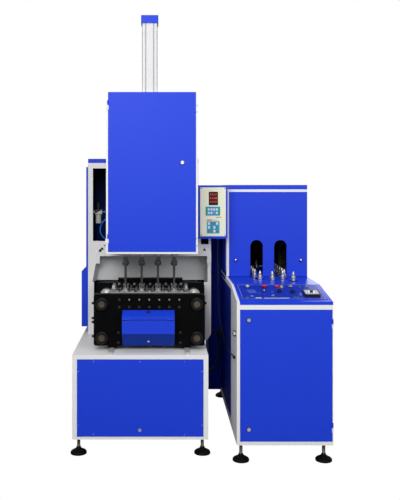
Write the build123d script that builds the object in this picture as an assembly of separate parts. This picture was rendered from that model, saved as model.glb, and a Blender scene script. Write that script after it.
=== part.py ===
from build123d import *
import math
import os

# Two-cabinet machine that stretch-blows plastic bottles: a blow unit with a four-cavity
# mould, and an infrared heater with a sloping operator's console. While it is modelled,
# X = 0 is the middle of the mould clamp, Y = 0 the front of the base cabinet and Z = 0
# the floor. Every size is in millimetres, +Y points away from the operator.

# Sheet and general clearances
sheet = 3.0
thin_sheet = 2.0
frame_wall = 4.0
panel_gap = 1.0
running_gap = 0.3
slide_fit = 0.1

# Base cabinet of the blow unit
base_ledge = 27.0
platen_overhang = 9.0
base_depth = 1000.0
base_bottom = 88.0
base_top = 522.0
base_top_plate = 12.0
base_front_wall = 6.0
base_rim_side = 25.0
base_rim_top = 22.5
base_rim_bottom = 15.0
panel_lap = 12.0

# Levelling feet
foot_inset_side = 28.0
foot_inset_end = 52.0
foot_pad_radius = 42.0
foot_pad_height = 36.0
foot_neck_radius = 11.0
foot_stem_radius = 6.5
foot_nut_radius = 12.5
foot_nut_height = 16.0

# Clamp: platens, tie bars, rails
platen_bottom = 545.5
front_platen_y = 110.0
front_platen_thickness = 45.0
front_platen_half_width = 294.5
front_platen_top = 818.0
front_platen_corner = 12.0
middle_platen_thickness = 45.0
middle_platen_half_width = 314.0
middle_platen_top = 833.0
middle_platen_corner = 25.0
thrust_block_half_width = 188.0
thrust_block_depth = 40.0
thrust_block_bottom = 560.0
thrust_block_top = 852.0
rear_platen_thickness = 40.0
rear_platen_half_width = 290.0
rear_platen_top = 812.0
mould_stroke = 75.0
platen_run_clearance = 10.0
platen_side_clearance = 3.0
tie_bar_x = 251.0
tie_bar_upper_z = 768.0
tie_bar_lower_z = 590.0
tie_bar_radius = 22.0
tie_bar_end_radius = 17.0
tie_bar_tip = 3.0
tie_nut_radius = 33.0
tie_nut_length = 25.0
bushing_radius = 35.0
bushing_length = 45.0
bushing_hole_extra = 2.0
rail_x = 199.0
rail_width = 24.0
rail_height = 12.0
rail_front = 20.0
shoe_width = 44.0
shoe_setback = 4.0
platen_bolt_radius = 6.5
platen_bolt_head = 7.0
bolt_socket_radius = 3.5
bolt_column_pitch = 53.0
bolt_row_upper_z = 790.0
bolt_row_lower_z = 751.0
bolt_side_x = 164.0
bolt_side_upper_z = 616.0
bolt_side_lower_z = 563.0

# Clamp cylinder behind the rear platen
cylinder_cap_size = 130.0
cylinder_cap_thickness = 20.0
clamp_barrel_radius = 58.0
clamp_bore_radius = 50.0
clamp_rod_radius = 20.0
clamp_piston_thickness = 20.0
clamp_piston_front_gap = 15.0
clamp_cylinder_end_gap = 25.0

# Mould
mould_half_width = 214.0
mould_half_depth = 150.0
mould_bottom = 556.0
mould_top = 820.0
mould_parting_gap = 0.3
cavity_count = 4
cavity_spacing = 90.0
bottle_radius = 38.0
bottle_waist_radius = 33.0
bottle_neck_radius = 14.0
bottle_height = 245.0
bottle_foot_corner = 8.0
bottle_waist_low = 62.0
bottle_waist_z = 78.0
bottle_waist_high = 94.0
bottle_shoulder_z = 160.0
bottle_neck_z = 212.0
neck_seat_radius = 22.0
neck_seat_depth = 8.0

# Blue cover on the front platen, with a hinged lower flap
cover_half_width = 137.0
cover_centre_x = -4.0
cover_reach = 75.0
cover_back_top = 734.0
cover_front_top = 713.0
cover_split_z = 698.5
cover_split_gap = 1.0
cover_front_bottom = 623.0
flap_pin_radius = 1.8
flap_knuckle_radius = 4.0
flap_knuckle_length = 40.0

# Tower behind the clamp
left_post_width = 35.0
right_post_width = 41.0
tower_front = 536.0
column_setback = 22.0
column_top = 1527.5
wing_top = 1388.0
wing_drop = 40.0
wing_chamfer = 24.0
lid_height = 25.0
window_border = 28.5
window_inner_edge = -236.0
window_bottom = 1067.0
window_top = 1496.0
wing_window_height = 322.0
wing_window_drop = 18.0
wing_window_border = 15.0
bay_left_clearance = 19.0
bay_shoulder_z = 826.0
bay_flare = 10.0
bay_flare_wall = 20.0
bay_neck_z = 935.5
bay_neck_inset = 11.0
hood_inset_left = 70.0
hood_inset_right = 24.0
hood_bottom = 979.0
hood_height = 23.0
hood_leg_width = 23.0
hood_reach = 10.0
guard_back_y = 625.0
guard_lap = 2.0
guard_bay_lap = 3.0
guard_neck_lap = 1.0
guard_top_lap = 18.0
guard_top_turn = 5.0
partition_x = -200.0
partition_depth = 170.0
partition_bottom = 1010.0
partition_top = 1300.0

# Covers on the left side of the tower and of the heater
strip_cover_reach = 12.0
strip_cover_bottom = 914.0
strip_cover_top = 1504.0
side_box_reach = 38.0
side_box_bottom = 563.0
side_box_top = 912.0
side_box_slope = 23.0
side_cover_inset = 10.0

# Upper cabinet that holds the stretch mechanism
cabinet_centre_x = 14.0
cabinet_half_width = 245.5
cabinet_front = 145.0
cabinet_bottom = 1028.0
cabinet_top = 1894.0
cabinet_side = 10.0
cabinet_floor = 18.0
door_sill = 10.0
cabinet_roof = 6.0
side_recess_inset = 20.0
door_depth = 20.0
hinge_radius = 4.0
hinge_pin_radius = 2.0
hinge_leaf = 14.0
hinge_leaf_thickness = 2.0
hinge_half_length = 24.0
hinge_end_inset = 70.0
latch_radius = 9.0
latch_height = 7.0
latch_spindle_radius = 4.0
latch_cam_bite = 4.0
latch_cam_thickness = 3.0
latch_cam_width = 14.0
latch_slot_width = 3.0
latch_slot_depth = 2.0
door_lock_inset = 72.0
door_lock_z = 1517.0

# Stretch cylinder, guides and rods
stretch_y = front_platen_y + front_platen_thickness + mould_half_depth
barrel_size = 86.0
barrel_corner = 6.0
barrel_groove_width = 7.0
barrel_groove_depth = 5.0
barrel_groove_offset = 22.0
barrel_bore_radius = 31.5
barrel_cushion = 133.0
end_cap_size = 95.0
end_cap_height = 44.0
lower_cap_height = 30.0
stretch_rod_radius = 7.0
stretch_travel = 235.0
stretch_piston_height = 25.0
stretch_piston_top_gap = 8.0
piston_rod_radius = 10.0
crossbar_half_width = 208.0
crossbar_depth = 50.0
crossbar_height = 25.0
crossbar_top = 1800.0
guide_rod_x = 188.0
guide_rod_radius = 10.0
rod_tip_clearance = 4.0

# Seal cylinders and blow nozzles
seal_block_half_width = 172.0
seal_block_depth = 80.0
seal_block_height = 200.0
seal_end_wall = 10.0
seal_bore_radius = 25.0
seal_piston_height = 20.0
seal_piston_top_gap = 6.0
nozzle_tube_radius = 10.5
nozzle_bore_radius = 7.8
nozzle_bell_radius = 20.0
nozzle_bottom = 949.0
nozzle_bell_height = 36.0
nozzle_tip_radius = 14.0
nozzle_shoulder_radius = 16.0
nozzle_taper_height = 9.0
nozzle_belt_height = 20.0
nozzle_shoulder_drop = 8.0
guide_bush_radius = 18.5
guide_bush_bottom = 1001.0

# Control box
control_lap = 5.0
control_width = 167.0
control_front = 430.0
control_height = 307.0
control_rise = 8.0
control_border = 10.0
control_panel_thickness = 3.0

# Heater cabinet
heater_distance = 83.0
heater_width = 482.0
heater_front = -97.0
heater_back = 1100.0
heater_bottom = 94.0
heater_post = 15.0
heater_rail_depth = 20.0
heater_bottom_rail = 18.0
heater_top_rail_bottom = 772.5
heater_foot_inset_left = 26.0
heater_foot_inset_right = 36.0
lip_bottom = 796.0
lip_top = 812.0
slope_back = 203.0
deck_z = 857.0
console_sheet = 3.0
cover_y = 523.0
heater_cover_thickness = 3.0
upper_inset = 7.0
upper_top = 1372.0
upper_top_rail = 15.0
heater_lid_height = 26.0
arch_centre_inset = 254.0
arch_pitch = 140.0
arch_width = 73.6
arch_top = 1074.0
latch_inset = 43.0
heater_latch_upper_z = 721.0
heater_latch_lower_z = 174.0
electric_box_width = 80.0
electric_box_front = 798.0
electric_box_bottom = 116.0
electric_box_top = 1340.0
lower_cover_front = 193.0
lower_cover_bottom = 140.0
lower_cover_top = 832.0
upper_cover_front = 573.0
upper_cover_bottom = 880.0
upper_cover_top = 1345.0

# Preform conveyor: chain, sprockets, mandrels
chain_pitch = 38.1
sprocket_teeth = 14
strand_links = 13
chain_front_y = 466.0
link_half_width = 7.0
link_thickness = 4.0
link_gap = 0.4
chain_z = 834.0
chain_pin_radius = 3.0
chain_pin_drop = 6.0
sprocket_thickness = 5.0
sprocket_notch_radius = 4.2
sprocket_shaft_radius = 12.0
bed_z = 797.0
slot_half_width = 11.0
mandrel_radius = 14.7
mandrel_height = 49.0
mandrel_collar_height = 20.0
mandrel_step = 5.0
mandrel_tip_length = 14.0
mandrel_tip_radius = 3.5
spare_peg_place = (364.0, 332.0)
spare_base_height = 5.0
spare_base_spread = 11.0
mandrel_lift = 1.0
mandrel_shank_radius = 5.0
plate_post_radius = 12.0

# Infrared lamp banks beside the two chain strands
lamp_offset = 62.0
lamp_count = 5
lamp_radius = 5.0
lamp_pitch = 34.0
lamp_rise = 35.0
lamp_front = 560.0
lamp_back = 990.0
reflector_reach = 24.0

# Console plate and its controls, placed by (distance from the heater's left side, Y)
plate_inset_left = 29.0
plate_inset_right = 20.0
plate_front = -63.0
plate_back = 194.0
plate_thickness = 2.0
start_button_place = (83.0, 141.0)
stop_button_place = (173.0, 137.0)
selector_place = (313.0, 141.0)
speed_knob_place = (237.0, 54.0)
timer_knob_place = (305.0, 46.0)
lamp_places = [(245.0, 141.0), (265.0, 141.0), (363.0, 141.0), (401.0, 141.0),
               (58.0, -38.0), (303.0, -35.0), (343.0, 24.0), (160.0, 58.0)]
regulator_place = (396.0, 14.0)
button_radius = 9.0
button_height = 10.0
button_depth = 6.0
button_travel = 3.5
button_end_gap = 0.5
bezel_radius = 13.0
bezel_height = 4.0
mushroom_radius = 12.5
mushroom_height = 8.0
knob_radius = 12.0
knob_height = 14.0
knob_taper = 1.5
knob_spindle_radius = 3.0
knob_spindle_depth = 12.0
spindle_hole_depth = 20.0
console_lamp_radius = 7.5
console_lamp_height = 6.0
regulator_width = 78.0
regulator_length = 88.0
regulator_height = 14.0
regulator_knob_radius = 9.0
regulator_knob_height = 9.0
regulator_bore_depth = 8.0
regulator_bore_end_gap = 1.0

# Cables and air hoses: diameters and hand-chosen routes
control_cable_radius = 3.5
power_cable_radius = 6.5
air_hose_radius = 4.0
gland_length = 10.0
control_cable_points = [(394, 483, 1079), (394, 483, 1035), (392, 485, 965), (396, 479, 885),
                        (392, 474, 805), (396, 468, 725), (401, 455, 648), (409, 425, 582),
                        (417, 375, 535), (423, 310, 511), (427, 235, 501), (429, 155, 500),
                        (431, 80, 507), (434, 20, 518), (434, -18, 518)]
power_cable_points = [(315, 590, 290), (356, 590, 290), (392, 598, 307), (416, 614, 337),
                      (425, 640, 379), (425, 672, 427), (424, 710, 459), (422, 753, 477),
                      (422, 798, 477)]
upper_hose_points = [(-289, 590, 1238), (-268, 590, 1238), (-246, 592, 1229), (-226, 595, 1219),
                     (-204, 595, 1219)]
lower_hose_points = [(-204, 610, 1206), (-238, 610, 1206), (-276, 609, 1191), (-301, 606, 1154),
                     (-303, 604, 1112), (-280, 607, 1077), (-244, 610, 1062), (-204, 610, 1062)]

# Air filter and pressure regulator in the tower window
filter_inset = 57.0
filter_y = 590.0
filter_head_z = 1238.0
filter_head_size = 44.0
filter_head_height = 26.0
filter_bowl_radius = 17.0
filter_bowl_length = 55.0
filter_knob_radius = 10.0
filter_knob_height = 40.0
filter_bracket_width = 24.0
filter_bracket_inset = 8.0

os.makedirs("parts", exist_ok=True)
nodes = {}

# Places worked out from the driving sizes
bay_left = -middle_platen_half_width - bay_left_clearance
bay_right = middle_platen_half_width + platen_side_clearance
base_right = middle_platen_half_width - platen_overhang
tower_left = bay_left - left_post_width
tower_right = bay_right + right_post_width
base_left = tower_left - base_ledge
column_right = base_right - column_setback
hood_left = tower_left + hood_inset_left
hood_right = tower_right - hood_inset_right
flare_left = bay_left - bay_flare
flare_right = tower_right - bay_flare_wall
neck_left = bay_left + bay_neck_inset
tower_back = base_depth
front_platen_back = front_platen_y + front_platen_thickness
middle_platen_front = front_platen_back + 2 * mould_half_depth
middle_platen_back = middle_platen_front + middle_platen_thickness
thrust_back = middle_platen_back + thrust_block_depth
rear_platen_front = thrust_back + 2 * mould_stroke + platen_run_clearance
rear_platen_back = rear_platen_front + rear_platen_thickness
rail_top = base_top + rail_height
cabinet_left = cabinet_centre_x - cabinet_half_width
cabinet_right = cabinet_centre_x + cabinet_half_width
door_left = cabinet_left + cabinet_side + panel_gap
door_right = cabinet_right - cabinet_side - panel_gap
floor_top = cabinet_bottom + cabinet_floor
door_bottom = cabinet_bottom + door_sill + panel_gap
roof_bottom = cabinet_top - cabinet_roof
barrel_top = roof_bottom + barrel_cushion + stretch_travel + stretch_piston_height + stretch_piston_top_gap
seal_block_top = floor_top + seal_block_height
seal_travel = nozzle_bottom - mould_top - running_gap
pitch_radius = chain_pitch / (2 * math.sin(math.pi / sprocket_teeth))
strand_length = strand_links * chain_pitch
chain_back_y = chain_front_y + strand_length
slope_rise = (deck_z - lip_top) / (slope_back - heater_front)
slope_angle = math.degrees(math.atan(slope_rise))
control_left = column_right - control_lap
control_right = control_left + control_width
control_top = wing_top + control_rise
control_bottom = control_top - control_height
wing_window_top = wing_top - wing_window_drop
wing_window_bottom = wing_window_top - wing_window_height
heater_left = tower_right + heater_distance
heater_right = heater_left + heater_width
upper_left = heater_left + upper_inset
arch_centre_x = heater_left + arch_centre_inset
filter_x = tower_left + filter_inset
cavity_places = [(i - (cavity_count - 1) / 2) * cavity_spacing for i in range(cavity_count)]


def block(x_range, y_range, z_range):
    """A box between two places on each axis."""
    size = [end - start for start, end in (x_range, y_range, z_range)]
    middle = [(start + end) / 2 for start, end in (x_range, y_range, z_range)]
    return Pos(*middle) * Box(*size)


def bar_x(y, z, x_range, radius):
    start, end = x_range
    return Pos((start + end) / 2, y, z) * Rot(0, 90, 0) * Cylinder(radius, end - start)


def bar_y(x, z, y_range, radius):
    start, end = y_range
    return Pos(x, (start + end) / 2, z) * Rot(90, 0, 0) * Cylinder(radius, end - start)


def bar_z(x, y, z_range, radius):
    start, end = z_range
    return Pos(x, y, (start + end) / 2) * Cylinder(radius, end - start)


def side_profile(points, x_range):
    """An outline of (Y, Z) points, extruded along X."""
    start, end = x_range
    outline = Plane.YZ.offset(start) * Polygon(*points, align=None)
    return extrude(outline, amount=end - start, dir=(1, 0, 0))


def front_profile(points, y_range):
    """An outline of (X, Z) points, extruded along Y."""
    start, end = y_range
    outline = Plane.XZ.offset(-start) * Polygon(*points, align=None)
    return extrude(outline, amount=end - start, dir=(0, 1, 0))


def turned(points):
    """A solid turned about Z from (radius, height) points."""
    outline = make_face(Polyline(*[(r, 0, z) for r, z in points], close=True))
    return revolve(outline, Axis.Z)


def fuse(shapes):
    joined = shapes[0]
    for shape in shapes[1:]:
        joined = joined + shape
    return joined


def group(shapes):
    """Separate solids that share one node."""
    solids = []
    for shape in shapes:
        solids.extend(shape.solids())
    return Compound(children=solids)


def rounded_plate(x_range, y_range, z_range, corner):
    plate = block(x_range, y_range, z_range)
    return fillet(plate.edges().filter_by(Axis.Y), corner)


def cord(points, radius):
    """A tube of straight runs joined by tangent arcs, as large as the runs allow."""
    places = [Vector(*point) for point in points]
    radii = []
    for before, here, after in zip(places, places[1:], places[2:]):
        turn = math.radians((here - before).get_angle(after - here))
        shorter = min((here - before).length, (after - here).length)
        radii.append(0.45 * shorter / math.tan(turn / 2))
    path = FilletPolyline(*places, radius=radii)
    section = Plane(origin=places[0], z_dir=places[1] - places[0]) * Circle(radius)
    return sweep(section, path=path)


def butt_hinge(axis_x, axis_y, z_middle, fixed_side):
    """Lift-off hinge: the fixed half carries the pin, the moving half hangs on it.
    fixed_side is -1 where the fixed leaf lies to the left of the axis."""
    leaf_back = axis_y + hinge_radius
    leaf_front = leaf_back - hinge_leaf_thickness
    fixed_edge = axis_x + fixed_side * hinge_leaf
    moving_edge = axis_x - fixed_side * hinge_leaf
    low = (z_middle - hinge_half_length, z_middle - running_gap)
    high = (z_middle + running_gap, z_middle + hinge_half_length)
    fixed = block(sorted((axis_x, fixed_edge)), (leaf_front, leaf_back), low)
    fixed = fixed + bar_z(axis_x, axis_y, low, hinge_radius)
    pin_top = z_middle + hinge_half_length * 0.8
    fixed = fixed + bar_z(axis_x, axis_y, (z_middle - hinge_half_length, pin_top), hinge_pin_radius)
    moving = block(sorted((axis_x, moving_edge)), (leaf_front, leaf_back), high)
    moving = moving + bar_z(axis_x, axis_y, high, hinge_radius)
    moving = moving - bar_z(axis_x, axis_y, high, hinge_pin_radius + slide_fit)
    return fixed, moving


def quarter_turn_latch(x, front_y, z, cam_y, cam_length):
    """Round knob with a screwdriver slot, spindle and cam; the cam hangs down when open."""
    knob = bar_y(x, z, (front_y - latch_height, front_y - running_gap), latch_radius)
    slot = block((x - latch_radius, x + latch_radius),
                 (front_y - latch_height - 1, front_y - latch_height + latch_slot_depth),
                 (z - latch_slot_width / 2, z + latch_slot_width / 2))
    spindle = bar_y(x, z, (front_y - running_gap - 1, cam_y + latch_cam_thickness), latch_spindle_radius)
    cam = block((x - latch_cam_width / 2, x + latch_cam_width / 2), (cam_y, cam_y + latch_cam_thickness),
                (z - cam_length, z + latch_cam_width / 2))
    return (knob - slot) + spindle + cam


def door_pan(x_range, front_y, z_range, latch_places):
    """Sheet door folded back round its four edges, with a hole for each latch."""
    x_low, x_high = x_range
    z_low, z_high = z_range
    pan = block(x_range, (front_y, front_y + door_depth), z_range)
    pan = pan - block((x_low + thin_sheet, x_high - thin_sheet),
                      (front_y + thin_sheet, front_y + door_depth + 1),
                      (z_low + thin_sheet, z_high - thin_sheet))
    for x, z in latch_places:
        pan = pan - bar_y(x, z, (front_y - 1, front_y + door_depth), latch_spindle_radius + slide_fit)
    return pan


def screw_head(x, z, face_y):
    """Socket head that stands out of a face towards the front."""
    head = bar_y(x, z, (face_y - platen_bolt_head, face_y), platen_bolt_radius)
    socket = bar_y(x, z, (face_y - platen_bolt_head - 1, face_y - platen_bolt_head / 2), bolt_socket_radius)
    return head - socket


def on_slope(place, shape):
    """Stands a shape modelled about Z = 0 on the console plate."""
    across, y = place
    z = lip_top + slope_rise * (y - heater_front)
    lifted = Pos(0, 0, plate_thickness) * shape
    return Pos(heater_left + across, y, z) * Rot(slope_angle, 0, 0) * lifted


# Base cabinet with its screwed front panel
panel_left = base_left + base_rim_side
panel_right = base_right - base_rim_side
panel_low = base_bottom + base_rim_bottom
panel_high = base_top - base_rim_top
base = block((base_left, base_right), (0, base_depth), (base_bottom, base_top))
base = base - block((base_left + sheet, base_right - sheet), (base_front_wall, base_depth - sheet),
                    (base_bottom + sheet, base_top - base_top_plate))
base = base - block((panel_left + panel_lap, panel_right - panel_lap), (-1, base_front_wall + 1),
                    (panel_low + panel_lap, panel_high - panel_lap))
base = base - block((panel_left - panel_gap, panel_right + panel_gap), (-1, thin_sheet),
                    (panel_low - panel_gap, panel_high + panel_gap))
power_start = power_cable_points[0]
base = base + bar_x(power_start[1], power_start[2], (base_right, base_right + gland_length),
                    power_cable_radius * 1.7)
nodes["base_frame"] = base
nodes["base_front_panel"] = block((panel_left, panel_right), (0, thin_sheet), (panel_low, panel_high))

# Levelling feet under both cabinets: (X, Y, underside)
foot_places = []
for x in (base_left + foot_inset_side, base_right - foot_inset_side):
    for y in (foot_inset_end, base_depth - foot_inset_end):
        foot_places.append((x, y, base_bottom))
for x in (heater_left + heater_foot_inset_left, heater_right - heater_foot_inset_right):
    for y in (heater_front + foot_inset_end, heater_back - foot_inset_end):
        foot_places.append((x, y, heater_bottom))
pad = turned([(0, 0), (foot_pad_radius, 0), (foot_pad_radius, 8), (foot_pad_radius - 4, 13),
              (foot_neck_radius + 3, foot_pad_height - 9), (foot_neck_radius, foot_pad_height),
              (0, foot_pad_height)])
nodes["foot_pads"] = group([Pos(x, y, 0) * pad for x, y, z in foot_places])
stems = []
for x, y, underside in foot_places:
    stem = bar_z(x, y, (foot_pad_height, underside), foot_stem_radius)
    nut = extrude(RegularPolygon(foot_nut_radius, 6), amount=foot_nut_height)
    stems.append(stem + Pos(x, y, underside - foot_nut_height) * nut)
nodes["foot_stems"] = group(stems)

# Tower: one welded frame with the clamp bay, a tall column and a lower right wing
tower = front_profile([(tower_left, base_top), (base_right, base_top), (base_right, base_top - wing_drop),
                       (tower_right - wing_chamfer, base_top - wing_drop),
                       (tower_right, base_top - wing_drop + 1.5 * wing_chamfer), (tower_right, wing_top),
                       (column_right, wing_top), (column_right, column_top), (tower_left, column_top)],
                      (tower_front, tower_back))
inner_y = (tower_front + frame_wall, tower_back - frame_wall)
tower = tower - block((tower_left + frame_wall, column_right - frame_wall), inner_y,
                      (base_top - 1, column_top - frame_wall))
tower = tower - block((column_right - frame_wall - 1, base_right), inner_y,
                      (base_top - 1, wing_top - frame_wall))
tower = tower - block((base_right - 1, tower_right - frame_wall), inner_y,
                      (base_top + frame_wall, wing_top - frame_wall))
bay = front_profile([(bay_left, base_top - 1), (bay_left, bay_shoulder_z), (flare_left, bay_shoulder_z),
                     (neck_left, bay_neck_z), (hood_left, bay_neck_z), (hood_left, hood_bottom),
                     (hood_right, hood_bottom), (hood_right, bay_neck_z), (flare_right, bay_neck_z),
                     (flare_right, bay_shoulder_z),
                     (bay_right, bay_shoulder_z), (bay_right, base_top), (base_right, base_top),
                     (base_right, base_top - 1)],
                    (tower_front - 1, tower_front + frame_wall + 1))
tower = tower - bay
tower = tower - block((tower_left + window_border, window_inner_edge),
                      (tower_front - 1, tower_front + frame_wall + 1), (window_bottom, window_top))
tower = tower - block((column_right + wing_window_border, tower_right - wing_window_border),
                      (tower_front - 1, tower_front + frame_wall + 1), (wing_window_bottom, wing_window_top))
hood = block((hood_left - hood_leg_width, tower_right), (tower_front - hood_reach, tower_front),
             (hood_bottom, hood_bottom + hood_height))
for leg in ((hood_left - hood_leg_width, hood_left), (hood_right, tower_right)):
    hood = hood + block(leg, (tower_front - hood_reach, tower_front), (bay_neck_z, hood_bottom))
partition = block((partition_x - frame_wall, partition_x), (inner_y[0], inner_y[0] + partition_depth),
                  (partition_bottom, partition_top))
nodes["tower_frame"] = tower + hood + partition


def lid(x_range, y_range, z_low, height):
    """Folded sheet lid, open below."""
    outer = block(x_range, y_range, (z_low, z_low + height))
    inner = block((x_range[0] + sheet, x_range[1] - sheet), (y_range[0] + sheet, y_range[1] - sheet),
                  (z_low - 1, z_low + height - thin_sheet))
    return outer - inner


cover_left = upper_left + heater_post + panel_gap
nodes["top_lids"] = group([
    lid((tower_left, column_right), (tower_front, tower_back), column_top, lid_height),
    lid((cover_left, heater_right), (cover_y, heater_back), upper_top, heater_lid_height)])

# Covers on the left sides
strip_y = (tower_front + side_cover_inset, tower_back - side_cover_inset)
strip = block((tower_left - strip_cover_reach, tower_left), strip_y, (strip_cover_bottom, strip_cover_top))
strip = strip - block((tower_left - strip_cover_reach + thin_sheet, tower_left + 1),
                      (strip_y[0] + thin_sheet, strip_y[1] - thin_sheet),
                      (strip_cover_bottom + thin_sheet, strip_cover_top - thin_sheet))
box_left = tower_left - side_box_reach
box_y = (tower_front, tower_back - 4 * side_cover_inset)
side_box = front_profile([(tower_left, side_box_bottom), (tower_left, side_box_top),
                          (tower_left - strip_cover_reach, side_box_top),
                          (box_left, side_box_top - side_box_slope), (box_left, side_box_bottom)], box_y)
side_box = side_box - block((box_left + thin_sheet, tower_left + 1),
                            (box_y[0] + thin_sheet, box_y[1] - thin_sheet),
                            (side_box_bottom + thin_sheet, side_box_top - side_box_slope - thin_sheet))
lower_cover = block((heater_left - thin_sheet, heater_left), (lower_cover_front, electric_box_front),
                    (lower_cover_bottom, lower_cover_top))
upper_cover = block((upper_left - thin_sheet, upper_left),
                    (upper_cover_front, heater_back - side_cover_inset),
                    (upper_cover_bottom, upper_cover_top))
nodes["side_covers"] = group([strip, side_box, lower_cover, upper_cover])

# Grey guard behind the mould: a back wall and two flared wings, folded from one sheet
guard_front_y = tower_front + frame_wall


def guard_outline(left_front, left_back, right_back, right_front, z, inset):
    """Open U of the guard at one height, as an outline with the sheet's thickness."""
    outer = [(left_front, guard_front_y), (left_back, guard_back_y), (right_back, guard_back_y),
             (right_front, guard_front_y)]
    inner = [(right_front - inset, guard_front_y), (right_back - inset, guard_back_y - inset),
             (left_back + inset, guard_back_y - inset), (left_front + inset, guard_front_y)]
    return Pos(0, 0, z) * Polygon(*outer, *inner, align=None)


guard_low = guard_outline(flare_left - guard_lap, neck_left - guard_neck_lap, bay_right + guard_bay_lap,
                          flare_right + guard_lap, bay_shoulder_z, thin_sheet)
guard_high = guard_outline(hood_left - guard_top_lap, hood_left - guard_top_turn, hood_right,
                           flare_right + guard_lap, hood_bottom, thin_sheet)
nodes["clamp_guard"] = loft([guard_low, guard_high], ruled=True)

# Upper cabinet, open in front, with its door and lock
cabinet = block((cabinet_left, cabinet_right), (cabinet_front, tower_front), (cabinet_bottom, cabinet_top))
cabinet = cabinet - block((cabinet_left + cabinet_side, cabinet_right - cabinet_side),
                          (cabinet_front - 1, tower_front - sheet), (floor_top, roof_bottom))
door_clear_y = cabinet_front + door_depth + panel_gap
side_recess_y = door_clear_y + side_recess_inset
cabinet = cabinet - block((cabinet_left + cabinet_side, cabinet_right - cabinet_side),
                          (cabinet_front - 1, door_clear_y), (door_bottom - panel_gap, cabinet_top + 1))
cabinet = cabinet - block((cabinet_left + cabinet_side / 2, cabinet_right - cabinet_side / 2),
                          (side_recess_y, tower_front - sheet),
                          (floor_top + side_recess_inset, roof_bottom - side_recess_inset))
for x in cavity_places:
    cabinet = cabinet - bar_z(x, stretch_y, (cabinet_bottom - 1, floor_top + 1),
                              guide_bush_radius + running_gap)
roof_hole = barrel_size / 2 + running_gap
cabinet = cabinet - block((-roof_hole, roof_hole), (stretch_y - roof_hole, stretch_y + roof_hole),
                          (roof_bottom - 1, cabinet_top + 1))
door_axis_x = door_left - panel_gap / 2
door_axis_y = cabinet_front - hinge_radius
door_z = (door_bottom, cabinet_top)
door_lock_x = door_right - door_lock_inset
upper_door = door_pan((door_left, door_right), cabinet_front, door_z, [(door_lock_x, door_lock_z)])
for z in (door_z[0] + hinge_end_inset, door_z[1] - hinge_end_inset):
    fixed_half, moving_half = butt_hinge(door_axis_x, door_axis_y, z, -1)
    cabinet = cabinet + fixed_half
    upper_door = upper_door + moving_half
nodes["upper_cabinet"] = cabinet
nodes["upper_door"] = upper_door
nodes["door_lock"] = quarter_turn_latch(door_lock_x, cabinet_front, door_lock_z, side_recess_y + panel_gap,
                                        door_lock_inset + panel_gap + latch_cam_bite)

# Stretch cylinder: grooved profile barrel between two end caps
section = fillet(Rectangle(barrel_size, barrel_size).vertices(), barrel_corner)
groove_reach = barrel_size / 2 - barrel_groove_depth / 2
for side in range(4):
    for offset in (-barrel_groove_offset, barrel_groove_offset):
        groove = Pos(groove_reach, offset) * Rectangle(barrel_groove_depth, barrel_groove_width)
        section = section - Rot(0, 0, 90 * side) * groove
section = section - Circle(barrel_bore_radius)
nodes["cylinder_barrel"] = Pos(0, stretch_y, roof_bottom) * extrude(section, amount=barrel_top - roof_bottom)
cap_outline = fillet(Rectangle(end_cap_size, end_cap_size).vertices(), barrel_corner)
upper_cap = Pos(0, stretch_y, barrel_top) * extrude(cap_outline, amount=end_cap_height)
lower_cap = Pos(0, stretch_y, roof_bottom - lower_cap_height) * extrude(cap_outline, amount=lower_cap_height)
lower_cap = lower_cap - bar_z(0, stretch_y, (roof_bottom - lower_cap_height - 1, roof_bottom + 1),
                              piston_rod_radius + slide_fit)
nodes["cylinder_end_caps"] = group([upper_cap, lower_cap])

# Stretch carriage: crossbar on two guide rods, driven by the piston rod
nodes["carriage_guide_rods"] = group([bar_z(x, stretch_y, (floor_top, roof_bottom), guide_rod_radius)
                                      for x in (-guide_rod_x, guide_rod_x)])
crossbar = block((-crossbar_half_width, crossbar_half_width),
                 (stretch_y - crossbar_depth / 2, stretch_y + crossbar_depth / 2),
                 (crossbar_top - crossbar_height, crossbar_top))
for x in (-guide_rod_x, guide_rod_x):
    crossbar = crossbar - bar_z(x, stretch_y, (crossbar_top - crossbar_height - 1, crossbar_top + 1),
                                guide_rod_radius + slide_fit)
nodes["stretch_crossbar"] = crossbar
rod_bottom = mould_top + rod_tip_clearance
rods = []
for x in cavity_places:
    rod = bar_z(x, stretch_y, (rod_bottom, crossbar_top - crossbar_height), stretch_rod_radius)
    rods.append(chamfer(rod.edges().group_by(Axis.Z)[0], stretch_rod_radius * 0.4))
nodes["stretch_rods"] = group(rods)
piston_top = barrel_top - stretch_piston_top_gap
piston = bar_z(0, stretch_y, (piston_top - stretch_piston_height, piston_top), barrel_bore_radius - slide_fit)
nodes["stretch_piston_rod"] = piston + bar_z(0, stretch_y, (crossbar_top, piston_top), piston_rod_radius)

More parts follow.
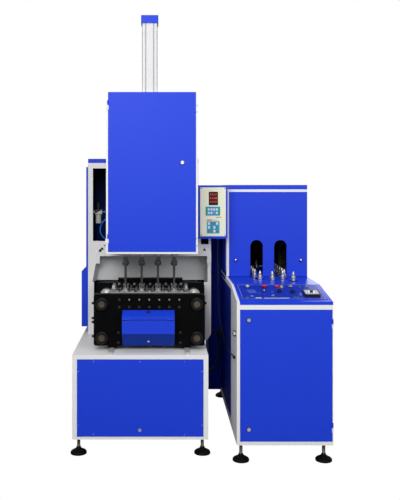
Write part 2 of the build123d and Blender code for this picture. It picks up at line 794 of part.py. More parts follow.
# Seal cylinder block with four bores, and the hollow pistons that end in the nozzles
seal_block = block((-seal_block_half_width, seal_block_half_width),
                   (stretch_y - seal_block_depth / 2, stretch_y + seal_block_depth / 2),
                   (floor_top, seal_block_top))
nozzles = []
seal_piston_top = seal_block_top - seal_end_wall - seal_piston_top_gap
tube_top = seal_block_top + seal_travel + seal_end_wall
for x in cavity_places:
    seal_block = seal_block + bar_z(x, stretch_y, (guide_bush_bottom, floor_top), guide_bush_radius)
    seal_block = seal_block - bar_z(x, stretch_y, (floor_top + seal_end_wall, seal_block_top - seal_end_wall),
                                    seal_bore_radius)
    seal_block = seal_block - bar_z(x, stretch_y, (guide_bush_bottom - 1, seal_block_top + 1),
                                    nozzle_tube_radius + slide_fit)
    bell_top = nozzle_bottom + nozzle_bell_height
    tube_outer = nozzle_tube_radius
    nozzle = turned([(nozzle_bore_radius, nozzle_bottom), (nozzle_tip_radius, nozzle_bottom),
                     (nozzle_bell_radius, nozzle_bottom + nozzle_taper_height),
                     (nozzle_bell_radius, nozzle_bottom + nozzle_belt_height),
                     (nozzle_shoulder_radius, bell_top - nozzle_shoulder_drop), (tube_outer, bell_top),
                     (tube_outer, tube_top), (nozzle_bore_radius, tube_top)])
    seal_piston = turned([(tube_outer, seal_piston_top - seal_piston_height),
                          (seal_bore_radius - slide_fit, seal_piston_top - seal_piston_height),
                          (seal_bore_radius - slide_fit, seal_piston_top), (tube_outer, seal_piston_top)])
    nozzles.append(Pos(x, stretch_y, 0) * (nozzle + seal_piston))
nodes["seal_cylinder_block"] = seal_block
nodes["blow_nozzles"] = group(nozzles)

# Front platen, its cover and the tie-bar frame
shoe_z = (rail_top + running_gap, platen_bottom + 1)


def shoes(y_range):
    """Two feet that ride on the rails."""
    return [block((x - shoe_width / 2, x + shoe_width / 2), y_range, shoe_z) for x in (-rail_x, rail_x)]


tie_places = [(x, z) for x in (-tie_bar_x, tie_bar_x) for z in (tie_bar_lower_z, tie_bar_upper_z)]
front_platen = rounded_plate((-front_platen_half_width, front_platen_half_width),
                             (front_platen_y, front_platen_back), (platen_bottom, front_platen_top),
                             front_platen_corner)
rear_platen = rounded_plate((-rear_platen_half_width, rear_platen_half_width),
                            (rear_platen_front, rear_platen_back), (platen_bottom, rear_platen_top),
                            front_platen_corner)
middle_platen = rounded_plate((-middle_platen_half_width, middle_platen_half_width),
                              (middle_platen_front, middle_platen_back), (platen_bottom, middle_platen_top),
                              middle_platen_corner)
front_platen = fuse([front_platen] + shoes((front_platen_y + shoe_setback, front_platen_back)))
rear_platen = fuse([rear_platen] + shoes((rear_platen_front, rear_platen_back)))
middle_platen = fuse([middle_platen] + shoes((middle_platen_front, middle_platen_back)))
middle_platen = middle_platen + block((-thrust_block_half_width, thrust_block_half_width),
                                      (middle_platen_back, thrust_back),
                                      (thrust_block_bottom, thrust_block_top))
cylinder_z = (platen_bottom + rear_platen_top) / 2
tie_bars = []
bushings = []
fasteners = []
nut_front = front_platen_y - tie_nut_length
nut_back = rear_platen_back + tie_nut_length
for x, z in tie_places:
    end_hole = tie_bar_end_radius + slide_fit
    front_platen = front_platen - bar_y(x, z, (front_platen_y - 1, front_platen_back + 1), end_hole)
    rear_platen = rear_platen - bar_y(x, z, (rear_platen_front - 1, rear_platen_back + 1), end_hole)
    middle_platen = middle_platen - bar_y(x, z, (middle_platen_front - 1, middle_platen_back + 1),
                                          tie_bar_radius + bushing_hole_extra)
    bar = bar_y(x, z, (front_platen_back, rear_platen_front), tie_bar_radius)
    tie_bars.append(bar + bar_y(x, z, (nut_front - tie_bar_tip, nut_back + tie_bar_tip), tie_bar_end_radius))
    bushing = bar_y(x, z, (middle_platen_front - bushing_length, middle_platen_front), bushing_radius)
    bushings.append(bushing - bar_y(x, z, (middle_platen_front - bushing_length - 1, middle_platen_front + 1),
                                    tie_bar_radius + slide_fit))
    for nut_y in ((nut_front, front_platen_y), (rear_platen_back, nut_back)):
        nut = bar_y(x, z, nut_y, tie_nut_radius)
        nut = chamfer(nut.edges().filter_by(GeomType.CIRCLE), 3)
        fasteners.append(nut - bar_y(x, z, (nut_y[0] - 1, nut_y[1] + 1), end_hole))
for column in range(-3, 4):
    for z in (bolt_row_upper_z, bolt_row_lower_z):
        fasteners.append(screw_head(column * bolt_column_pitch, z, front_platen_y))
for x in (-bolt_side_x, bolt_side_x):
    for z in (bolt_side_upper_z, bolt_side_lower_z):
        fasteners.append(screw_head(x, z, front_platen_y))
rear_platen = rear_platen - bar_y(0, cylinder_z, (rear_platen_front - 1, rear_platen_back + 1),
                                  clamp_rod_radius + slide_fit)
nodes["front_platen"] = front_platen
nodes["rear_platen"] = rear_platen
nodes["middle_platen"] = middle_platen
nodes["tie_bars"] = group(tie_bars)
nodes["tie_bar_bushings"] = group(bushings)
nodes["platen_fasteners"] = group(fasteners)

# Rails under the platens
rail_back = tower_back - 4 * side_cover_inset
nodes["clamp_rails"] = group([block((x - rail_width / 2, x + rail_width / 2), (rail_front, rail_back),
                                    (base_top, rail_top)) for x in (-rail_x, rail_x)])

# Clamp cylinder on the rear platen; its rod pushes the middle platen
barrel_front = rear_platen_back + cylinder_cap_thickness
clamp_barrel_length = (clamp_piston_front_gap + clamp_piston_thickness + 2 * mould_stroke
                       + clamp_cylinder_end_gap)
barrel_back = barrel_front + clamp_barrel_length
half_cap = cylinder_cap_size / 2
cylinder = bar_y(0, cylinder_z, (barrel_front - 1, barrel_back + 1), clamp_barrel_radius)
for cap_y in ((rear_platen_back, barrel_front), (barrel_back, barrel_back + cylinder_cap_thickness)):
    cylinder = cylinder + rounded_plate((-half_cap, half_cap), cap_y,
                                        (cylinder_z - half_cap, cylinder_z + half_cap), front_platen_corner)
cylinder = cylinder - bar_y(0, cylinder_z, (barrel_front, barrel_back), clamp_bore_radius)
cylinder = cylinder - bar_y(0, cylinder_z, (rear_platen_back - 1, barrel_front + 1),
                            clamp_rod_radius + slide_fit)
nodes["clamp_cylinder"] = cylinder
clamp_piston_y = barrel_front + clamp_piston_front_gap
clamp_rod = bar_y(0, cylinder_z, (thrust_back, clamp_piston_y), clamp_rod_radius)
nodes["clamp_rod"] = clamp_rod + bar_y(0, cylinder_z,
                                       (clamp_piston_y, clamp_piston_y + clamp_piston_thickness),
                                       clamp_bore_radius - slide_fit)

# Mould halves with bottle-shaped cavities and a seat for each preform neck
bottle_bottom = mould_top - bottle_height
bottle = turned([(0, bottle_bottom), (bottle_radius - bottle_foot_corner / 2, bottle_bottom),
                 (bottle_radius, bottle_bottom + bottle_foot_corner),
                 (bottle_radius, bottle_bottom + bottle_waist_low),
                 (bottle_waist_radius, bottle_bottom + bottle_waist_z),
                 (bottle_radius, bottle_bottom + bottle_waist_high),
                 (bottle_radius, bottle_bottom + bottle_shoulder_z),
                 (bottle_neck_radius, bottle_bottom + bottle_neck_z),
                 (bottle_neck_radius, mould_top - neck_seat_depth),
                 (neck_seat_radius, mould_top - neck_seat_depth), (neck_seat_radius, mould_top + 1),
                 (0, mould_top + 1)])
half_gap = mould_parting_gap / 2
mould_x = (-mould_half_width, mould_half_width)
front_mould = block(mould_x, (front_platen_back, stretch_y - half_gap), (mould_bottom, mould_top))
rear_mould = block(mould_x, (stretch_y + half_gap, middle_platen_front), (mould_bottom, mould_top))
for x in cavity_places:
    front_mould = front_mould - Pos(x, stretch_y, 0) * bottle
    rear_mould = rear_mould - Pos(x, stretch_y, 0) * bottle
nodes["front_mould"] = front_mould
nodes["rear_mould"] = rear_mould

# Cover on the front platen: fixed upper part and a flap that swings on two pins
cover_face = front_platen_y - cover_reach
cover_x = (cover_centre_x - cover_half_width, cover_centre_x + cover_half_width)
cover_inner_x = (cover_x[0] + thin_sheet, cover_x[1] - thin_sheet)
cover_low = cover_split_z + cover_split_gap / 2
flap_top = cover_split_z - cover_split_gap / 2
upper_cover = side_profile([(front_platen_y, cover_back_top), (cover_face, cover_front_top),
                            (cover_face, cover_low), (front_platen_y, cover_low)], cover_x)
upper_cover = upper_cover - side_profile([(front_platen_y + 1, cover_back_top - thin_sheet),
                                          (cover_face + thin_sheet, cover_front_top - thin_sheet),
                                          (cover_face + thin_sheet, cover_low - 1),
                                          (front_platen_y + 1, cover_low - 1)], cover_inner_x)
flap_back = front_platen_y - running_gap
flap_low = platen_bottom + running_gap
flap = side_profile([(flap_back, flap_top), (cover_face, flap_top), (cover_face, cover_front_bottom),
                     (flap_back, flap_low)], cover_x)
flap = flap - side_profile([(flap_back + 1, flap_top + 1), (cover_face + thin_sheet, flap_top + 1),
                            (cover_face + thin_sheet, cover_front_bottom + 1),
                            (flap_back + 1, flap_low + thin_sheet)], cover_inner_x)
for end in (-1, 1):
    outer_end = cover_centre_x + end * cover_half_width
    middle_x = outer_end - end * flap_knuckle_length / 2
    inner_end = outer_end - end * flap_knuckle_length
    fixed_x = sorted((inner_end, middle_x - end * running_gap))
    moving_x = sorted((outer_end, middle_x + end * running_gap))
    fixed_clear = sorted((inner_end - end * running_gap, middle_x))
    moving_clear = sorted((outer_end + end, middle_x))
    fixed_knuckle = bar_x(cover_face, cover_split_z, fixed_x, flap_knuckle_radius)
    pin = bar_x(cover_face, cover_split_z, sorted((inner_end, outer_end - end * running_gap)),
                flap_pin_radius)
    clear_radius = flap_knuckle_radius + running_gap
    upper_cover = upper_cover - bar_x(cover_face, cover_split_z, moving_clear, clear_radius)
    upper_cover = upper_cover + fixed_knuckle + pin
    flap = flap - bar_x(cover_face, cover_split_z, fixed_clear, clear_radius)
    flap = flap + bar_x(cover_face, cover_split_z, moving_x, flap_knuckle_radius)
    flap = flap - bar_x(cover_face, cover_split_z, moving_clear, flap_pin_radius + slide_fit)
nodes["platen_cover"] = upper_cover
nodes["cover_flap"] = flap

# Air filter in the tower window, on a bracket from the left wall
head_half = filter_head_size / 2
head_z = (filter_head_z - filter_head_height / 2, filter_head_z + filter_head_height / 2)
air_filter = block((filter_x - head_half, filter_x + head_half),
                   (filter_y - head_half, filter_y + head_half), head_z)
bowl_z = (head_z[0] - filter_bowl_length, head_z[0])
knob_z = (head_z[1], head_z[1] + filter_knob_height)
air_filter = air_filter + bar_z(filter_x, filter_y, bowl_z, filter_bowl_radius)
air_filter = air_filter + bar_z(filter_x, filter_y, knob_z, filter_knob_radius)
half_bracket = filter_bracket_width / 2
nodes["air_filter"] = air_filter + block((tower_left + frame_wall, filter_x),
                                         (filter_y - half_bracket, filter_y + half_bracket),
                                         (head_z[0] + filter_bracket_inset, head_z[1] - filter_bracket_inset))
nodes["air_hose_upper"] = cord(upper_hose_points, air_hose_radius)
nodes["air_hose_lower"] = cord(lower_hose_points, air_hose_radius)

# Control box on the tower's right wing
control_box = block((control_left, control_right), (control_front, tower_front),
                    (control_bottom, control_top))
control_box = control_box - block((control_left + thin_sheet, control_right - thin_sheet),
                                  (control_front + thin_sheet, tower_front - thin_sheet),
                                  (control_bottom + thin_sheet, control_top - thin_sheet))
cable_start = control_cable_points[0]
nodes["control_box"] = control_box + bar_z(cable_start[0], cable_start[1],
                                           (control_bottom - gland_length, control_bottom),
                                           control_cable_radius * 2)
nodes["control_panel"] = block((control_left + control_border, control_right - control_border),
                               (control_front - control_panel_thickness, control_front),
                               (control_bottom + control_border * 1.4, control_top - control_border * 1.2))

# Heater frame: lower body, raised left rail, conveyor bed and upper oven frame
under_console = deck_z - console_sheet
heater_x = (heater_left, heater_right)
post_right = heater_left + heater_post
heater = side_profile([(heater_front, heater_bottom), (heater_back, heater_bottom),
                       (heater_back, under_console), (slope_back, under_console),
                       (heater_front + console_sheet, lip_top - console_sheet),
                       (heater_front + console_sheet, lip_bottom), (heater_front, lip_bottom)], heater_x)
rail_profile = [(heater_front, heater_bottom), (heater_back, heater_bottom), (heater_back, deck_z),
                (slope_back, deck_z), (heater_front, lip_top)]
heater = heater + side_profile(rail_profile, (heater_left, post_right))
inner_front = heater_front + heater_rail_depth
inner_right = heater_right - sheet
heater = heater - block((post_right, inner_right), (inner_front, heater_back - sheet),
                        (heater_bottom + sheet, deck_z + 1))
rail_under = heater_post + console_sheet
heater = heater - side_profile([(inner_front, heater_bottom + sheet),
                                (heater_back - sheet, heater_bottom + sheet),
                                (heater_back - sheet, deck_z - rail_under),
                                (slope_back, deck_z - rail_under),
                                (inner_front, lip_top - rail_under)], (heater_left + sheet, post_right + 1))
heater_door_x = (post_right + 2 * panel_gap, inner_right - panel_gap)
heater_door_z = (heater_bottom + heater_bottom_rail + panel_gap, heater_top_rail_bottom - panel_gap)
heater = heater - block((heater_door_x[0] - panel_gap, heater_door_x[1] + panel_gap),
                        (heater_front - 1, inner_front + 1),
                        (heater_door_z[0] - panel_gap, heater_door_z[1] + panel_gap))
bed_front = chain_front_y - pitch_radius - 3 * slot_half_width
heater = heater + block((post_right - 1, inner_right + 1), (bed_front, heater_back - 1),
                        (bed_z, bed_z + sheet))
oven_front = cover_y + heater_cover_thickness
oven_left = upper_left + heater_post
oven_top = upper_top - upper_top_rail
oven = block((upper_left, heater_right), (oven_front, heater_back), (deck_z, upper_top))
oven = oven + block((upper_left, oven_left), (cover_y, oven_front + 1), (deck_z, upper_top))
oven = oven + block((upper_left, heater_right), (cover_y, oven_front + 1), (oven_top, upper_top))
oven = oven - block((oven_left, inner_right), (cover_y - 1, heater_back - sheet), (deck_z - 1, oven_top))
oven = oven - block((upper_left + sheet, oven_left + 1),
                    (oven_front + heater_post, heater_back - sheet), (deck_z - 1, oven_top))
oven = oven - block((oven_left, inner_right - heater_post),
                    (oven_front + heater_post, heater_back - heater_post),
                    (oven_top - 1, upper_top - sheet))
heater = heater + oven
cable_end = control_cable_points[-1]
elbow_y = cable_end[1] - gland_length
heater = heater + bar_x(elbow_y, cable_end[2], (cable_end[0], heater_left), control_cable_radius * 1.8)
heater = heater + bar_y(cable_end[0], cable_end[2], (elbow_y - gland_length, cable_end[1]),
                        control_cable_radius * 1.8)
heater_axis_x = heater_door_x[1] + panel_gap / 2
heater_axis_y = heater_front - hinge_radius
latch_x = heater_door_x[0] + latch_inset
heater_latches = [(latch_x, heater_latch_lower_z), (latch_x, heater_latch_upper_z)]
heater_door = door_pan(heater_door_x, heater_front, heater_door_z, heater_latches)
for z in (heater_door_z[0] + hinge_end_inset, heater_door_z[1] - hinge_end_inset):
    fixed_half, moving_half = butt_hinge(heater_axis_x, heater_axis_y, z, 1)
    trim = block((heater_right, heater_right + 2 * hinge_leaf), (heater_axis_y - 10, heater_front + 10),
                 (z - 2 * hinge_half_length, z + 2 * hinge_half_length))
    heater = heater + (fixed_half - trim)
    heater_door = heater_door + moving_half
nodes["heater_frame"] = heater
nodes["heater_door"] = heater_door
for name, (x, z) in zip(("heater_latch_lower", "heater_latch_upper"), heater_latches):
    nodes[name] = quarter_turn_latch(x, heater_front, z, inner_front + panel_gap,
                                     latch_inset + 2 * panel_gap + latch_cam_bite)

# Chain joints run round the loop: left strand, back turn, right strand, front turn
step = 2 * math.pi / sprocket_teeth
left_x = arch_centre_x - pitch_radius
right_x = arch_centre_x + pitch_radius
joints = [(left_x, chain_front_y + i * chain_pitch) for i in range(strand_links)]
joints += [(arch_centre_x - pitch_radius * math.cos(i * step),
            chain_back_y + pitch_radius * math.sin(i * step)) for i in range(sprocket_teeth // 2)]
joints += [(right_x, chain_back_y - i * chain_pitch) for i in range(strand_links)]
joints += [(arch_centre_x + pitch_radius * math.cos(i * step),
            chain_front_y - pitch_radius * math.sin(i * step)) for i in range(sprocket_teeth // 2)]


def stadium(radius, z_range):
    """Oval round both sprocket centres."""
    low, high = z_range
    shape = bar_z(arch_centre_x, chain_front_y, z_range, radius)
    shape = shape + bar_z(arch_centre_x, chain_back_y, z_range, radius)
    return shape + block((arch_centre_x - radius, arch_centre_x + radius),
                         (chain_front_y, chain_back_y), z_range)


plate_outline = SlotCenterToCenter(chain_pitch, 2 * link_half_width)
end_places = [Pos(-chain_pitch / 2, 0), Pos(chain_pitch / 2, 0)]
upper_z = chain_z + link_thickness + link_gap
carrier = Pos(0, 0, chain_z) * extrude(plate_outline, amount=link_thickness)
for place in end_places:
    pin_bottom = chain_z - chain_pin_drop
    pin_length = chain_pin_drop + 2 * link_thickness + 2 * link_gap
    carrier = carrier + place * Pos(0, 0, pin_bottom) * extrude(Circle(chain_pin_radius), amount=pin_length)
joiner_outline = plate_outline
for place in end_places:
    joiner_outline = joiner_outline - place * Circle(chain_pin_radius + running_gap)
joiner = Pos(0, 0, upper_z) * extrude(joiner_outline, amount=link_thickness)
mandrel_tip_z = mandrel_height - mandrel_tip_length
spigot_radius = mandrel_radius - mandrel_step
mandrel_head = turned([(0, 0), (mandrel_radius, 0), (mandrel_radius, mandrel_collar_height),
                       (spigot_radius, mandrel_collar_height + mandrel_step), (spigot_radius, mandrel_tip_z),
                       (mandrel_tip_radius, mandrel_height), (0, mandrel_height)])
shank_top = deck_z + mandrel_lift
mandrel = Pos(0, 0, shank_top) * mandrel_head
mandrel = mandrel + bar_z(0, 0, (chain_z + link_thickness, shank_top + 1), mandrel_shank_radius)
links = []
mandrels = []
for index, start in enumerate(joints):
    end = joints[(index + 1) % len(joints)]
    middle = Pos((start[0] + end[0]) / 2, (start[1] + end[1]) / 2, 0)
    heading = Rot(0, 0, math.degrees(math.atan2(end[1] - start[1], end[0] - start[0])))
    if index % 2 == 0:
        links.append(middle * heading * carrier)
        mandrels.append(middle * mandrel)
    else:
        links.append(middle * heading * joiner)
nodes["conveyor_chain"] = group(links)
spare_base = extrude(SlotCenterToCenter(2 * spare_base_spread, mandrel_radius), amount=spare_base_height)
spare_peg = spare_base + Pos(0, 0, spare_base_height) * mandrel_head
mandrels.append(Pos(heater_left + spare_peg_place[0], spare_peg_place[1], deck_z) * spare_peg)
nodes["mandrels"] = group(mandrels)
sprocket_top = chain_z - link_gap
wheel_outline = Circle(pitch_radius + 1.5)
for tooth in range(sprocket_teeth):
    angle = tooth * step
    notch_place = Pos(pitch_radius * math.cos(angle), pitch_radius * math.sin(angle))
    wheel_outline = wheel_outline - notch_place * Circle(sprocket_notch_radius)
wheel = Pos(0, 0, sprocket_top - sprocket_thickness) * extrude(wheel_outline, amount=sprocket_thickness)
wheel = wheel + bar_z(0, 0, (bed_z + sheet, sprocket_top - sprocket_thickness + 1),
                      sprocket_shaft_radius)
nodes["sprockets"] = group([Pos(arch_centre_x, y, 0) * wheel for y in (chain_front_y, chain_back_y)])

# Plate inside the chain loop, level with the deck, on two posts from the conveyor bed
centre_plate = stadium(pitch_radius - slot_half_width, (under_console, deck_z))
post_inset = strand_length * 0.3
for y in (chain_front_y + post_inset, chain_back_y - post_inset):
    centre_plate = centre_plate + bar_z(arch_centre_x, y, (bed_z + sheet, under_console + 1),
                                        plate_post_radius)
nodes["deck_centre_plate"] = centre_plate

# Console sheet: front lip, slope and deck folded from one sheet, with the chain's slot
console_x = (post_right + running_gap, heater_right)
console = side_profile([(heater_front, lip_bottom), (heater_front, lip_top), (slope_back, deck_z),
                        (heater_back, deck_z), (heater_back, under_console), (slope_back, under_console),
                        (heater_front + console_sheet, lip_top - console_sheet),
                        (heater_front + console_sheet, lip_bottom)], console_x)
console = console - stadium(pitch_radius + slot_half_width, (under_console - 1, deck_z + 1))
trim_z = (under_console - 1, deck_z + 1)
trim_oven = block((post_right - 1, oven_left + running_gap), (cover_y - running_gap, heater_back + 1), trim_z)
trim_back = block((post_right - 1, heater_right + 1), (heater_back - 2 * sheet, heater_back + 1), trim_z)
trim_right = block((inner_right - running_gap, heater_right + 1), (cover_y, heater_back + 1), trim_z)
console = console - trim_oven - trim_back - trim_right

# Console plate with the controls' holes and bezels
plate_front_z, plate_back_z = [lip_top + slope_rise * (y - heater_front) for y in (plate_front, plate_back)]
lean = math.radians(slope_angle)
lift_y = -plate_thickness * math.sin(lean)
lift_z = plate_thickness * math.cos(lean)
plate_x = (heater_left + plate_inset_left, heater_right - plate_inset_right)
console_plate = side_profile([(plate_front, plate_front_z), (plate_back, plate_back_z),
                              (plate_back + lift_y, plate_back_z + lift_z),
                              (plate_front + lift_y, plate_front_z + lift_z)], plate_x)
bezel = extrude(Circle(bezel_radius), amount=bezel_height)
bezels = [on_slope(place, bezel) for place in (start_button_place, stop_button_place)]
console_plate = fuse([console_plate] + bezels)
hole_reach = 2 * button_depth + bezel_height
button_hole = Pos(0, 0, -hole_reach) * extrude(Circle(button_radius + running_gap), amount=2 * hole_reach)
spindle_hole = Pos(0, 0, -spindle_hole_depth) * extrude(Circle(knob_spindle_radius + slide_fit),
                                                       amount=spindle_hole_depth + 1)
holes = [on_slope(place, button_hole) for place in (start_button_place, stop_button_place)]
holes += [on_slope(place, spindle_hole) for place in (selector_place, speed_knob_place, timer_knob_place)]
for hole in holes:
    console_plate = console_plate - hole
    console = console - hole
nodes["console"] = console
nodes["console_plate"] = console_plate
start_button = Pos(0, 0, -button_depth) * extrude(Circle(button_radius), amount=button_depth + button_height)
nodes["start_button"] = on_slope(start_button_place, start_button)
stem_length = button_depth + bezel_height + button_travel + 1
stem = Pos(0, 0, -button_depth) * extrude(Circle(button_radius), amount=stem_length)
head = turned([(0, 0), (mushroom_radius - 2, 0), (mushroom_radius, 2), (mushroom_radius, mushroom_height - 3),
               (mushroom_radius - 4, mushroom_height), (0, mushroom_height)])
head = Pos(0, 0, bezel_height + button_travel + button_end_gap) * head
nodes["stop_button"] = on_slope(stop_button_place, stem + head)
knob = Pos(0, 0, running_gap) * turned([(0, 0), (knob_radius, 0), (knob_radius - knob_taper, knob_height),
                                        (0, knob_height)])
knob = knob + block((-1.5, 1.5), (0, knob_radius - 2), (knob_height - 1, knob_height + 2))
spindle = Pos(0, 0, -knob_spindle_depth) * extrude(Circle(knob_spindle_radius),
                                                   amount=knob_spindle_depth + 1)
knob = knob + spindle
nodes["speed_knob"] = on_slope(speed_knob_place, knob)
nodes["timer_knob"] = on_slope(timer_knob_place, knob)
selector = Pos(0, 0, running_gap) * extrude(Circle(knob_radius), amount=5)
selector = selector + block((-3.5, 3.5), (-knob_radius + 1, knob_radius - 1), (4, knob_height))
selector = selector + spindle
nodes["selector_switch"] = on_slope(selector_place, selector)
lens = turned([(0, 0), (console_lamp_radius + 1.5, 0), (console_lamp_radius + 1.5, 2),
               (console_lamp_radius, 2), (console_lamp_radius - 3, console_lamp_height),
               (0, console_lamp_height)])
nodes["console_lamps"] = group([on_slope(place, lens) for place in lamp_places])
regulator = block((-regulator_width / 2, regulator_width / 2), (-regulator_length / 2, regulator_length / 2),
                  (0, regulator_height))
regulator = chamfer(regulator.edges().filter_by(Axis.Z), 3)
spindle_bore = extrude(Circle(knob_spindle_radius + slide_fit), amount=regulator_bore_depth + 1)
regulator = regulator - Pos(0, 0, regulator_height - regulator_bore_depth) * spindle_bore
nodes["power_regulator"] = on_slope(regulator_place, regulator)
regulator_knob = turned([(0, 0), (regulator_knob_radius, 0),
                         (regulator_knob_radius - 1, regulator_knob_height), (0, regulator_knob_height)])
regulator_knob = Pos(0, 0, regulator_height + running_gap) * regulator_knob
spindle_low = regulator_height - regulator_bore_depth + regulator_bore_end_gap
regulator_spindle = bar_z(0, 0, (spindle_low, regulator_height + 1), knob_spindle_radius)
nodes["regulator_knob"] = on_slope(regulator_place, regulator_knob + regulator_spindle)

# Oven cover with two arched openings for the mandrels
heater_cover = block((cover_left, heater_right), (cover_y, oven_front), (deck_z, oven_top))
for x in (arch_centre_x - arch_pitch / 2, arch_centre_x + arch_pitch / 2):
    spring_z = arch_top - arch_width / 2
    heater_cover = heater_cover - block((x - arch_width / 2, x + arch_width / 2),
                                        (cover_y - 1, oven_front + 1), (deck_z - 1, spring_z))
    heater_cover = heater_cover - bar_y(x, spring_z, (cover_y - 1, oven_front + 1), arch_width / 2)
nodes["heater_cover"] = heater_cover

# Electric box on the heater's left side
electric_left = heater_left - electric_box_width
electric_back = heater_back - side_cover_inset
electric = block((electric_left, heater_left), (electric_box_front, electric_back),
                 (electric_box_bottom, electric_box_top))
nodes["electric_box"] = electric - block((electric_left + thin_sheet, heater_left - thin_sheet),
                                         (electric_box_front + thin_sheet, electric_back - thin_sheet),
                                         (electric_box_bottom + thin_sheet, electric_box_top - thin_sheet))

# Lamp banks: a reflector plate with folded ends, and lamps between the ends
lamp_first_z = deck_z + lamp_rise
lamp_top = lamp_first_z + (lamp_count - 1) * lamp_pitch
banks = []
for side in (-1, 1):
    lamp_x = arch_centre_x + side * (pitch_radius + lamp_offset)
    plate_x = lamp_x + side * reflector_reach
    reflector = block(sorted((plate_x, plate_x - side * thin_sheet)), (lamp_front, lamp_back),
                      (deck_z, lamp_top + lamp_pitch / 2))
    for y in (lamp_front, lamp_back - thin_sheet):
        reflector = reflector + block(sorted((plate_x, lamp_x - side * 2 * lamp_radius)), (y, y + thin_sheet),
                                      (deck_z, lamp_top + lamp_pitch / 2))
    banks.append(reflector)
    for row in range(lamp_count):
        banks.append(bar_y(lamp_x, lamp_first_z + row * lamp_pitch,
                           (lamp_front + thin_sheet, lamp_back - thin_sheet), lamp_radius))
nodes["lamp_banks"] = group(banks)

nodes["control_cable"] = cord(control_cable_points, control_cable_radius)
nodes["power_cable"] = cord(power_cable_points, power_cable_radius)

# The finished part's origin is on the floor, in the middle of the footprint
boxes = [shape.bounding_box() for shape in nodes.values()]
origin_x = (min(box.min.X for box in boxes) + max(box.max.X for box in boxes)) / 2
origin_y = (min(box.min.Y for box in boxes) + max(box.max.Y for box in boxes)) / 2
for name, shape in nodes.items():
    export_step(Pos(-origin_x, -origin_y, 0) * shape, "parts/" + name + ".step")
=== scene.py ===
import math

import bmesh
import bpy
from mathutils import Matrix, Vector


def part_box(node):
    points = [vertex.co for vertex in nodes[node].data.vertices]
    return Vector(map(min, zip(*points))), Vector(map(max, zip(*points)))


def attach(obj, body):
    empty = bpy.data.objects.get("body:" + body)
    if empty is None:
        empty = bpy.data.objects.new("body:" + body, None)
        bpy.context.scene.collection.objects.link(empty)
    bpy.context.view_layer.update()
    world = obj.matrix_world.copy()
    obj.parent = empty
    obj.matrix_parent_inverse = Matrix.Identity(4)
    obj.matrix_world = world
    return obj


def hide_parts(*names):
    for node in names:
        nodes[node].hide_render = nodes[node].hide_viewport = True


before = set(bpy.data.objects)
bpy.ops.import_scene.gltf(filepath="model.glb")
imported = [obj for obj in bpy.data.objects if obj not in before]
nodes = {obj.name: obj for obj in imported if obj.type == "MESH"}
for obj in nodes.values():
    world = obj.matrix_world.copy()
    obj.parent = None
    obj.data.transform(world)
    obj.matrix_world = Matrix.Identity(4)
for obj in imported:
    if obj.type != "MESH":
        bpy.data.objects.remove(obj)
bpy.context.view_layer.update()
scene = bpy.context.scene

# The modelling frame's origin, in metres: middle of the clamp, front of the base, floor
platen_low, platen_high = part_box("front_platen")
CLAMP_X = (platen_low.x + platen_high.x) / 2
CLAMP_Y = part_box("base_frame")[0].y
LOW, HIGH = 0, 1


def at(x, y, z):
    """A place given in millimetres from the clamp's middle, the base's front and the floor."""
    return Vector((CLAMP_X + x / 1000, CLAMP_Y + y / 1000, z / 1000))


def place_of(point):
    """The same frame's millimetres for a point in metres."""
    return ((point.x - CLAMP_X) * 1000, (point.y - CLAMP_Y) * 1000, point.z * 1000)


def edge(node, end, axis):
    """Where a node's box begins or ends along x, y or z, in the same millimetres."""
    return round(place_of(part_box(node)[end])["xyz".index(axis)], 2)


# Faces and edges that the details sit on, read from the solids
BASE_FACE = edge("base_front_panel", LOW, "y")
PAD_TOP = edge("foot_pads", HIGH, "z")
PLATEN_FACE = edge("front_platen", LOW, "y")
PLATEN_HALF_WIDTH = edge("front_platen", HIGH, "x")
MOULD_TOP = edge("front_mould", HIGH, "z")
PARTING_Y = (edge("front_mould", HIGH, "y") + edge("rear_mould", LOW, "y")) / 2
TOWER_FACE = edge("upper_cabinet", HIGH, "y")
PANEL_FACE = edge("control_panel", LOW, "y")
BOX_FACE = edge("electric_box", LOW, "y")
HEATER_LEFT = edge("electric_box", HIGH, "x")
HEATER_FRONT = edge("console", LOW, "y")
DECK_TOP = edge("console", HIGH, "z")
COVER_FACE = edge("heater_cover", LOW, "y")
COVER_BACK = edge("heater_cover", HIGH, "y")
OVEN_LEFT = edge("side_covers", HIGH, "x")

# Sizes and places that the boxes don't show, in the same millimetres
CAVITY_SPACING = 90.0
CAVITIES = [CAVITY_SPACING * (number - 1.5) for number in range(4)]
CABINET_FACE = 145.0
FLAP_FACE = 35.0
COVER_MIDDLE_X = -4.0
LIP_TOP = 812.0
SLOPE_RISE = 0.15
PLATE_THICKNESS = 2.0


def slope_z(y):
    """Height of the console's slope at a depth."""
    return LIP_TOP + SLOPE_RISE * (y - HEATER_FRONT)


def slope_height(y, z):
    """Height over the console's slope, along its normal."""
    return (z - slope_z(y)) / math.sqrt(1 + SLOPE_RISE ** 2)


